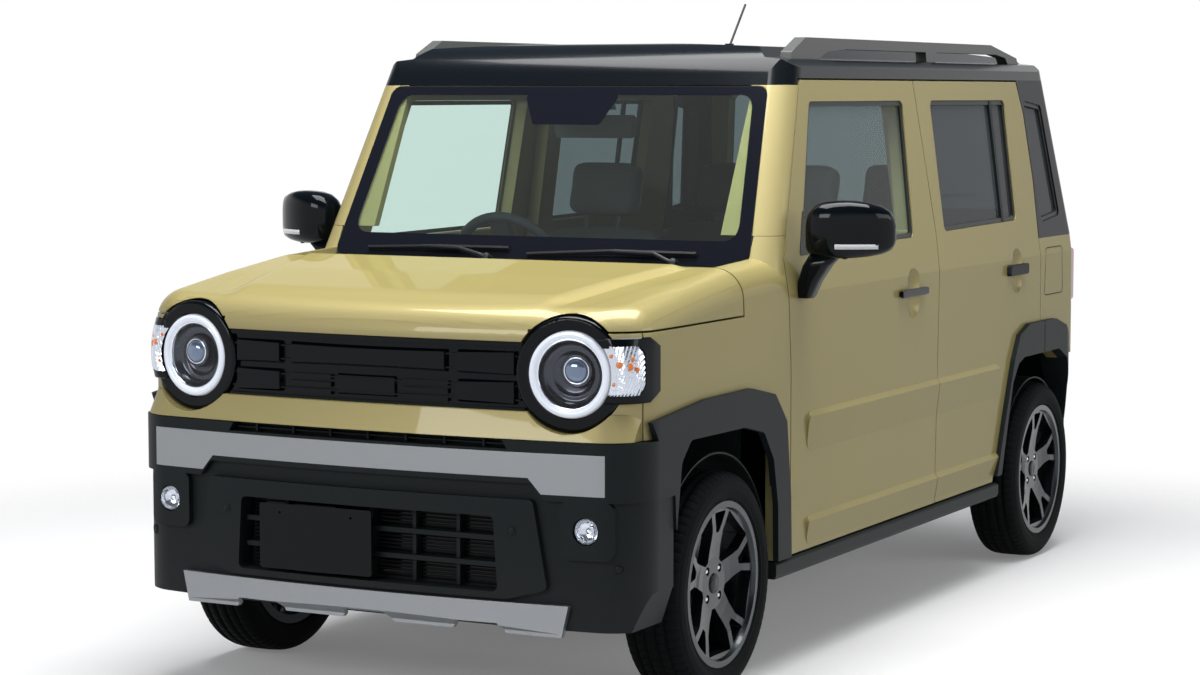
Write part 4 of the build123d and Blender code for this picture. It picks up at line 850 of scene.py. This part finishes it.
MIRROR_CASE = (
    # x, front y, back y, low z, high z
    (0.7440, -0.664, -0.630, 1.125, 1.185), (0.7465, -0.686, -0.612, 1.110, 1.202),
    (0.7560, -0.698, -0.603, 1.100, 1.220), (0.7750, -0.706, -0.599, 1.095, 1.235),
    (0.8000, -0.711, -0.595, 1.092, 1.242), (0.8350, -0.705, -0.590, 1.091, 1.245),
    (0.8700, -0.691, -0.585, 1.093, 1.244), (0.9050, -0.669, -0.580, 1.097, 1.238),
    (0.9350, -0.644, -0.576, 1.104, 1.228), (0.9520, -0.620, -0.574, 1.113, 1.214),
    (0.9600, -0.602, -0.576, 1.125, 1.196), (0.9630, -0.592, -0.580, 1.140, 1.176),
)
MIRROR_ARM = (
    # z, low x, high x, front y, back y
    (0.984, 0.716, 0.754, -0.672, -0.626), (0.990, 0.715, 0.759, -0.676, -0.622),
    (1.030, 0.717, 0.778, -0.678, -0.620), (1.070, 0.730, 0.806, -0.679, -0.619),
    (1.104, 0.752, 0.838, -0.680, -0.618),
)
MIRROR_FACE = ((0.770, 1.114), (0.768, 1.220), (0.930, 1.214), (0.942, 1.122))
MIRROR_KNOB = ((0.0, 0.004), (0.006, 0.003), (0.0075, 0.0), (0.0075, -0.006))
STRIP_ROWS = ((1.1180, -0.0010), (1.1200, 0.0016), (1.1310, 0.0020), (1.1330, -0.0006))
HANDLE_BAR = (
    # y, inner x, outer x, low z, high z
    (0.051, 0.7315, 0.7375, 0.940, 0.956), (0.055, 0.7285, 0.7378, 0.937, 0.959),
    (0.075, 0.7265, 0.7379, 0.936, 0.960), (0.235, 0.7265, 0.7379, 0.936, 0.960),
    (0.254, 0.7285, 0.7378, 0.937, 0.959), (0.258, 0.7315, 0.7375, 0.940, 0.956),
)


def case_front(x):
    """Front face of the mirror case near its lower edge, at a distance from the middle."""
    for (x0, y0, *_), (x1, y1, *_) in zip(MIRROR_CASE, MIRROR_CASE[1:]):
        if x0 <= x <= x1:
            return y0 + (y1 - y0) * (x - x0) / (x1 - x0) + 0.0035
    return MIRROR_CASE[-1][1]


class KEI_OT_mirrors(bpy.types.Operator):
    """Build the smooth mirror cases, arms, grips, indicator strips and glass"""
    bl_idname = "kei.mirrors"
    bl_label = "Mirrors"

    def execute(self, context):
        posts = [box_part((0.7190, y, 0.940), (0.7300, y + 0.020, 0.956))
                 for y in (0.0580, 0.2300)]
        strip = [0.838 + 0.0082 * k for k in range(13)]
        face = inset_loop(rounded_loop(MIRROR_FACE, 0.024), 0.004)
        for side, hand in SIDES:
            body, node = f"front_door_{side}", f"front_door_fittings_{side}"
            for name, part, smooth in (
                    ("mirror_case", swept(MIRROR_CASE, "x", power=3.4), True),
                    ("mirror_arm", swept(MIRROR_ARM, "z", power=3.4), True),
                    ("front_handle", joined(swept(HANDLE_BAR, "y", power=4.0), *posts), False)):
                mesh_piece(f"{name}_{side}", turned(part, hand), "gloss_black", body,
                           smooth=smooth, stands_for=(node,))
            rows = [[(hand * x, case_front(x) - proud, z) for x in strip]
                    for z, proud in STRIP_ROWS]
            mesh_piece(f"mirror_indicator_{side}", sheet(rows), "indicator", body, smooth=True)
            glass = [(hand * p.x, -0.5990 + (p.x - 0.770) * 0.145 + 0.0022, p.y) for p in face]
            mesh_piece(f"mirror_glass_{side}", flat_face(glass), "mirror_glass", body)
            knob = lathe(MIRROR_KNOB, (hand * 0.852, -0.664, 1.0945), (0, 0, -1), 20)
            mesh_piece(f"mirror_camera_{side}", knob, "void", body, smooth=True)
        return {"FINISHED"}


# Bonnet

BONNET_X, BONNET_STEPS_X = 0.712, 160
BONNET_FRONT_Y, BONNET_LONG, BONNET_STEPS_Y = -1.652, 0.628, 80
SKIN_LIFT = 0.0006


def soft(t):
    """Smooth step from 0 to 1."""
    t = max(0.0, min(1.0, t))
    return t * t * (3 - 2 * t)


def bonnet_share(x, y):
    """Share of the full rise at a place: 1 in the middle field, 0 at the edges."""
    back = (y + 1.64) / 0.60
    middle = 0.455 + 0.125 * back
    field = soft((middle - abs(x)) / (0.075 - 0.03 * back) + 0.5)
    dip = soft((middle + 0.09 - abs(x)) / 0.06) * (1 - field) * 0.35
    ends = soft((y + 1.625) / 0.12) * soft((-1.035 - y) / 0.05)
    sides = soft((0.700 - abs(x)) / 0.03)
    return (field - dip) * ends * sides


class KEI_OT_bonnet_form(bpy.types.Operator):
    """Lay a painted skin with a raised middle and soft creases on the bonnet"""
    bl_idname = "kei.bonnet_form"
    bl_label = "Bonnet Form"

    def execute(self, context):
        height = context.scene.kei_sizes.bonnet_rise
        panel = NODES["bonnet"].data
        tree = BVHTree.FromPolygons([v.co for v in panel.vertices],
                                    [tuple(p.vertices) for p in panel.polygons])
        place, verts = {}, []
        for j in range(BONNET_STEPS_Y + 1):
            y = BONNET_FRONT_Y + BONNET_LONG * j / BONNET_STEPS_Y
            for i in range(BONNET_STEPS_X + 1):
                x = -BONNET_X + 2 * BONNET_X * i / BONNET_STEPS_X
                spot, normal, _, _ = tree.ray_cast(Vector((x, y, 2.0)), Vector((0, 0, -1)))
                if spot is None or abs(normal.z) < 0.30:
                    continue
                place[i, j] = len(verts)
                verts.append((x, y, spot.z + SKIN_LIFT + height * bonnet_share(x, y)))
        faces = []
        for j in range(BONNET_STEPS_Y):
            for i in range(BONNET_STEPS_X):
                corners = ((i, j), (i + 1, j), (i + 1, j + 1), (i, j + 1))
                if place.keys() >= set(corners):
                    faces.append(tuple(place[corner] for corner in corners))
        mesh_piece("bonnet_skin", (verts, faces), "paint", "bonnet", smooth=True)
        return {"FINISHED"}


# Doors

DOOR_SAIL = ((-0.634, 1.094), (-0.578, 1.228), (-0.566, 1.096))
FILLER_FLAP = ((1.352, 0.861), (1.366, 1.019), (1.532, 1.019), (1.541, 0.861))


class KEI_OT_door_details(bpy.types.Operator):
    """Add the door sail covers and the filler flap line"""
    bl_idname = "kei.door_details"
    bl_label = "Door Details"

    def execute(self, context):
        def on_side(loop, hand, proud):
            return [(hand * (side_x(p.y) + proud), p.x, p.y) for p in loop]

        sail = rounded_loop(DOOR_SAIL, 0.008)
        for side, hand in SIDES:
            verts, faces = ribbon(on_side(sail, hand, 0.0016), on_side(sail, hand, -0.0105))
            faces.append(tuple(range(len(sail))))
            mesh_piece(f"door_sail_{side}", (verts, faces), "gloss_black", f"front_door_{side}")
        flap = rounded_loop(FILLER_FLAP, 0.018)
        line = ribbon(*(on_side(loop, 1.0, 0.0007) for loop in (flap, inset_loop(flap, 0.0028))))
        mesh_piece("filler_flap_line", line, "void")
        return {"FINISHED"}


# Tail

TAIL_LENSES = (
    # low z, high z, finish
    (0.834, 0.888, "tail_red"), (0.892, 0.938, "reflector"), (0.942, 0.996, "tail_red"),
)


def upright_loop(hand, x0, x1, z0, z1, radius):
    """Rounded upright rectangle on one side of the car."""
    return rounded_loop([(hand * x0, z0), (hand * x1, z0), (hand * x1, z1), (hand * x0, z1)],
                        radius)


def at_y(loop, y):
    """Flat outline (x, z) set at a distance along the car."""
    return [(p.x, y, p.y) for p in loop]


class KEI_OT_tail_details(bpy.types.Operator):
    """Add the tail lamps and lenses, the rear reflectors, the rear wiper and the stop lamp"""
    bl_idname = "kei.tail_details"
    bl_label = "Tail Details"

    def execute(self, context):
        for side, hand in SIDES:
            outline = upright_loop(hand, 0.651, 0.713, 0.826, 1.004, 0.014)
            verts, faces = ribbon(at_y(outline, 1.6230), at_y(outline, 1.6850),
                                  at_y(inset_loop(outline, 0.0030), 1.6915),
                                  at_y(inset_loop(outline, 0.0075), 1.6940))
            size = len(outline)
            faces += [tuple(range(3 * size, 4 * size)), tuple(range(size))]
            mesh_piece(f"tail_lamp_shell_{side}", (verts, faces), "tail_red",
                       stands_for=("tail_lamps",))
            for k, (z0, z1, material) in enumerate(TAIL_LENSES):
                loop = upright_loop(hand, 0.657, 0.707, z0, z1, 0.010)
                verts, faces = ribbon(at_y(loop, 1.6938), at_y(inset_loop(loop, 0.006), 1.6966))
                faces.append(tuple(range(len(loop), 2 * len(loop))))
                mesh_piece(f"tail_lens_{k}_{side}", (verts, faces), material)
            spot = upright_loop(hand, 0.560, 0.640, 0.402, 0.438, 0.008)
            spot = [(p.x, 1.6834 - (abs(p.x) - 0.56) * 0.084, p.y) for p in spot]
            mesh_piece(f"rear_reflector_{side}", flat_face(spot), "tail_red")
        arm = tube([(0.0, 1.6730, 1.112), (0.03, 1.6790, 1.130), (0.20, 1.6680, 1.165),
                    (0.26, 1.6640, 1.172)], 0.0065)
        blade = tube([(0.02, 1.6620, 1.158), (0.20, 1.6590, 1.172), (0.37, 1.6560, 1.176)],
                     0.0055, 6)
        knob = lathe([(0.0, 0.022), (0.016, 0.019), (0.020, 0.0), (0.020, -0.02)],
                     (0.0, 1.662, 1.110), (0, 1, 0.1), 24)
        mesh_piece("rear_wiper", joined(arm, blade, knob), "rubber", "tailgate")
        stop = box_part((-0.130, 1.5560, 1.5400), (0.130, 1.5760, 1.5520))
        mesh_piece("high_stop_lamp", stop, "tail_red", "tailgate")
        return {"FINISHED"}


# Cabin

SEAT_ROWS = (
    # name, node, middles x, back y, width, cushion top, back top
    ("front", "front_seats", (-0.330, 0.330), 0.120, 0.470, 0.660, 1.140),
    ("rear", "rear_seats", (-0.300, 0.300), 0.980, 0.540, 0.680, 1.120),
)
SEAMS = (
    # axis, place, width, depth
    ("u", -0.62, 0.035, 0.012), ("u", 0.62, 0.035, 0.012),
    ("v", -0.30, 0.03, 0.007), ("v", 0.25, 0.03, 0.007),
)
SWELL_FRAMES, SWELL_PRESSURE, SWELL_CAP = 12, 1.5, 0.006


def pad_form(size, crown, pinch, seams, cuts=22):
    """Crowned closed cushion of half sizes, with its sides drawn in and sewn lines pressed in."""
    a, b, c = size
    form = bmesh.new()
    bmesh.ops.create_cube(form, size=2.0)
    bmesh.ops.subdivide_edges(form, edges=form.edges[:], cuts=cuts, use_grid_fill=True)
    for vert in form.verts:
        u, v, w = vert.co
        length = (abs(u) ** 5 + abs(v) ** 5 + abs(w) ** 5) ** 0.2
        u, v, w = u / length, v / length, w / length
        edge = max(abs(u), abs(v))
        lift = crown * (1 - u * u) * (1 - v * v)
        side = 1 - pinch * (1 - min(abs(u), abs(v)) ** 2) * 0.5
        groove = 0.0
        for axis, at, width, depth in seams:
            gap = (u if axis == "u" else v) - at
            groove = max(groove, depth * math.exp(-(gap / width) ** 2))
        up = 1.0 if w > 0 else -0.25
        vert.co = Vector((u * a * side, v * b * side,
                          w * c + up * abs(w) * lift - (groove if w > 0 else 0.0)
                          * min(1.0, (1 - edge) * 8 + 0.35)))
    verts = [v.co.copy() for v in form.verts]
    faces = [tuple(v.index for v in f.verts) for f in form.faces]
    form.free()
    return verts, faces


def set_at(part, origin, w_dir):
    """The part moved so that its u axis runs across the car and its w axis along w_dir."""
    u_axis, w_axis = Vector((1, 0, 0)), Vector(w_dir).normalized()
    turn = Matrix((u_axis, w_axis.cross(u_axis).normalized(), w_axis)).transposed()
    verts, faces = part
    return [Vector(origin) + turn @ v for v in verts], faces


def swell(piece):
    """Short cloth run that puffs a pad, applied to its mesh, no point further than the cap."""
    before = [v.co.copy() for v in piece.data.vertices]
    cloth = piece.modifiers.new("Swell", "CLOTH")
    cloth.settings.quality = 4
    cloth.settings.use_pressure = True
    cloth.settings.uniform_pressure_force = SWELL_PRESSURE
    cloth.settings.effector_weights.gravity = 0.0
    scene = bpy.context.scene
    for number in range(1, SWELL_FRAMES + 1):
        scene.frame_set(number)
    shaped = piece.evaluated_get(bpy.context.evaluated_depsgraph_get())
    after = [v.co.copy() for v in shaped.data.vertices]
    piece.modifiers.clear()
    for vert, old, new in zip(piece.data.vertices, before, after):
        step = new - old
        if step.length > SWELL_CAP:
            step = step.normalized() * SWELL_CAP
        vert.co = old + step
    scene.frame_set(1)


class KEI_OT_seats(bpy.types.Operator):
    """Build the padded seats with sewn channels and headrests"""
    bl_idname = "kei.seats"
    bl_label = "Seats"

    def execute(self, context):
        lean = Vector((0, 0.26, 0.97)).normalized()
        face = Vector((0, -0.97, 0.26)).normalized()
        for name, node, middles, y_back, width, cushion, top in SEAT_ROWS:
            half, height = width / 2, top - cushion + 0.07
            for x, side in zip(middles, ("right", "left")):
                pads = (
                    # part, fill, form
                    ("cushion", 0.7, set_at(pad_form((half - 0.006, 0.235, 0.062), 0.020, 0.05,
                                                     SEAMS),
                                            (x, y_back - 0.262, cushion - 0.082), (0, 0.05, 1))),
                    ("back", 0.7, set_at(pad_form((half - 0.006, height / 2, 0.050), 0.020, 0.06,
                                                  SEAMS),
                                         Vector((x, y_back - 0.006, cushion - 0.075))
                                         + lean * height / 2, face)),
                    ("headrest", 0.8, set_at(pad_form((0.118, 0.085, 0.038), 0.012, 0.10, (), 14),
                                             (x, y_back + 0.128, top + 0.088), face)),
                )
                for part_name, fill, part in pads:
                    piece = mesh_piece(f"{name}_seat_{part_name}_{side}", part, "seat_fabric",
                                       smooth=True, stands_for=(node,))
                    swell(piece)
                posts = [tube([(x + off, y_back + 0.098, top - 0.03),
                               (x + off, y_back + 0.125, top + 0.06)], 0.006)
                         for off in (-0.055, 0.055)]
                base = box_part((x - half + 0.045, y_back - 0.465, 0.336),
                                (x + half - 0.045, y_back - 0.045, cushion - 0.140))
                mesh_piece(f"{name}_seat_frame_{side}", joined(*posts, base), "cabin_plastic")
        return {"FINISHED"}


class KEI_OT_cabin(bpy.types.Operator):
    """Add the dashboard screen and the inner mirror glass"""
    bl_idname = "kei.cabin"
    bl_label = "Cabin"

    def execute(self, context):
        screen = rounded_loop([(-0.115, 0.925), (0.115, 0.925), (0.115, 1.040), (-0.115, 1.040)],
                              0.008)
        screen = [(p.x, -0.3320 - (p.y - 0.925) * 0.2, p.y) for p in screen]
        mesh_piece("display_screen", flat_face(screen), "gloss_black")
        mirror = rounded_loop([(-0.112, 1.406), (0.112, 1.406), (0.116, 1.459), (-0.116, 1.459)],
                              0.012)
        mesh_piece("inner_mirror_glass", flat_face(at_y(mirror, -0.4390)), "mirror_glass")
        return {"FINISHED"}


# Stage

FLOOR_REACH = 40.0
FADE_FROM, FADE_TO = 2.2, 3.7
CEILING_FROM, CEILING_TO = 0.20, 0.48
CAMERA_PLACE, CAMERA_TILT, CAMERA_TURN = (3.6951, -7.4906, 1.5287), 85.0, 27.61


def shown_ray(tree):
    """Node that gives 1 where a ray comes from the camera, a mirror face or through glass."""
    path = add_node(tree, "LightPath")
    first, both = (add_node(tree, "Math", operation="MAXIMUM") for _ in range(2))
    wire(tree, (path, "Is Camera Ray", first, 0), (path, "Is Glossy Ray", first, 1),
         (first, "Value", both, 0), (path, "Is Transmission Ray", both, 1))
    return both


class KEI_OT_stage(bpy.types.Operator):
    """Set the floor, the lamps, the white surround and the camera"""
    bl_idname = "kei.stage"
    bl_label = "Stage"

    def execute(self, context):
        scene, levels = context.scene, context.scene.kei_stage
        self.floor(scene)
        self.surround(scene)
        lamps = (
            # name, place, aim, width, depth, power
            ("Top Softbox", (0.3, -0.6, 4.6), (0, -0.2, 0), 4.2, 3.0, levels.top_power),
            ("Front Softbox", (-1.5, -8.0, 3.6), (0, -1.5, 0.8), 4.0, 1.6, levels.front_power),
            ("Side Softbox", (7.0, 0.6, 3.0), (0.7, 0.3, 0.8), 6.0, 1.6, levels.side_power),
        )
        for name, place, aim, width, depth, power in lamps:
            data = bpy.data.lights.new(name, "AREA")
            data.shape = "RECTANGLE"
            data.size, data.size_y, data.energy = width, depth, power
            lamp = bpy.data.objects.new(name, data)
            scene.collection.objects.link(lamp)
            lamp.location = place
            lamp.rotation_euler = (Vector(aim) - Vector(place)).to_track_quat("-Z", "Y").to_euler()
        camera_data = bpy.data.cameras.new("Photo Camera")
        camera = bpy.data.objects.new("Photo Camera", camera_data)
        scene.collection.objects.link(camera)
        camera.location = CAMERA_PLACE
        camera.rotation_euler = (math.radians(CAMERA_TILT), 0.0, math.radians(CAMERA_TURN))
        camera_data.sensor_width = 36.0
        camera_data.lens = levels.lens
        camera_data.clip_end = 200.0
        scene.camera = camera
        scene.view_settings.view_transform = "Standard"
        return {"FINISHED"}

    def floor(self, scene):
        """White floor that keeps the car's shadow and fades out into the surround."""
        reach = FLOOR_REACH
        mesh = bpy.data.meshes.new("Studio Floor")
        mesh.from_pydata([(-reach, -reach, 0), (reach, -reach, 0), (reach, reach, 0),
                          (-reach, reach, 0)], [], [(0, 1, 2, 3)])
        floor = bpy.data.objects.new("studio_floor", mesh)
        scene.collection.objects.link(floor)
        material, tree, shader = blank_material("Studio Floor White", {
            "Base Color": (0.36, 0.36, 0.36, 1.0), "Roughness": 0.8, "Specular IOR Level": 0.0})
        bright = add_node(tree, "BsdfDiffuse", {"Color": (0.50, 0.50, 0.505, 1.0)})
        lift, both = add_node(tree, "Emission", {"Strength": 0.16}), add_node(tree, "AddShader")
        pick, fade = add_node(tree, "MixShader"), add_node(tree, "MixShader")
        clear, coords = add_node(tree, "BsdfTransparent"), add_node(tree, "TexCoord")
        length = add_node(tree, "VectorMath", operation="LENGTH")
        edge = add_node(tree, "MapRange", {"From Min": FADE_FROM, "From Max": FADE_TO},
                        interpolation_type="SMOOTHSTEP")
        wire(tree, (bright, "BSDF", both, 0), (lift, "Emission", both, 1),
             (shown_ray(tree), "Value", pick, "Fac"), (shader, "BSDF", pick, 1),
             (both, "Shader", pick, 2), (coords, "Object", length, 0),
             (length, "Value", edge, "Value"), (edge, "Result", fade, "Fac"),
             (pick, "Shader", fade, 1), (clear, "BSDF", fade, 2),
             (fade, "Shader", tree.nodes["Material Output"], "Surface"))
        mesh.materials.append(material)

    def surround(self, scene):
        """World that lights softly and shows as white, with a dim ceiling above it."""
        world = bpy.data.worlds.new("White Surround")
        scene.world = world
        world.use_nodes = True
        tree = world.node_tree
        lit = set_inlets(tree.nodes["Background"],
                         {"Color": (0.92, 0.95, 1.0, 1.0), "Strength": 0.32})
        shown, mix = add_node(tree, "Background", {"Strength": 1.0}), add_node(tree, "MixShader")
        coords, split = add_node(tree, "TexCoord"), add_node(tree, "SeparateXYZ")
        height = add_node(tree, "MapRange", {"From Min": CEILING_FROM, "From Max": CEILING_TO},
                          interpolation_type="SMOOTHSTEP")
        shade = add_node(tree, "Mix", {"A": (1.0, 1.0, 1.0, 1.0), "B": (0.10, 0.11, 0.12, 1.0)},
                         data_type="RGBA")
        wire(tree, (coords, "Generated", split, "Vector"), (split, "Z", height, "Value"),
             (height, "Result", shade, "Factor"), (shade, "Result", shown, "Color"),
             (shown_ray(tree), "Value", mix, "Fac"), (lit, "Background", mix, 1),
             (shown, "Background", mix, 2),
             (mix, "Shader", tree.nodes["World Output"], "Surface"))


class KEI_PT_panel(bpy.types.Panel):
    """Lists the car's pieces and settings"""
    bl_idname = "KEI_PT_panel"
    bl_label = "Kei Car"
    bl_space_type = "VIEW_3D"
    bl_region_type = "UI"
    bl_category = "Kei Car"

    def draw(self, context):
        scene = context.scene
        for group in (scene.kei_looks, scene.kei_sizes, scene.kei_stage):
            for name in group.__annotations__:
                self.layout.prop(group, name)
        for operator in OPERATORS:
            self.layout.operator(operator.bl_idname)


OPERATORS = (KEI_OT_dress_frame, KEI_OT_tyres, KEI_OT_wheel_details, KEI_OT_headlamps,
             KEI_OT_fog_lamps, KEI_OT_front_trim, KEI_OT_window_seals, KEI_OT_wipers,
             KEI_OT_mirrors, KEI_OT_bonnet_form, KEI_OT_door_details, KEI_OT_tail_details,
             KEI_OT_seats, KEI_OT_cabin, KEI_OT_stage)
CLASSES = (KeiCarLooks, KeiCarSizes, KeiCarStage, *OPERATORS, KEI_PT_panel)


def register():
    for each in CLASSES:
        bpy.utils.register_class(each)
    bpy.types.Scene.kei_looks = bpy.props.PointerProperty(type=KeiCarLooks)
    bpy.types.Scene.kei_sizes = bpy.props.PointerProperty(type=KeiCarSizes)
    bpy.types.Scene.kei_stage = bpy.props.PointerProperty(type=KeiCarStage)


def unregister():
    del bpy.types.Scene.kei_stage
    del bpy.types.Scene.kei_sizes
    del bpy.types.Scene.kei_looks
    for each in reversed(CLASSES):
        bpy.utils.unregister_class(each)


def main():
    """Registers the add-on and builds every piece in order."""
    register()
    for operator in OPERATORS:
        group, name = operator.bl_idname.split(".")
        getattr(getattr(bpy.ops, group), name)()


if __name__ == "__main__":
    main()
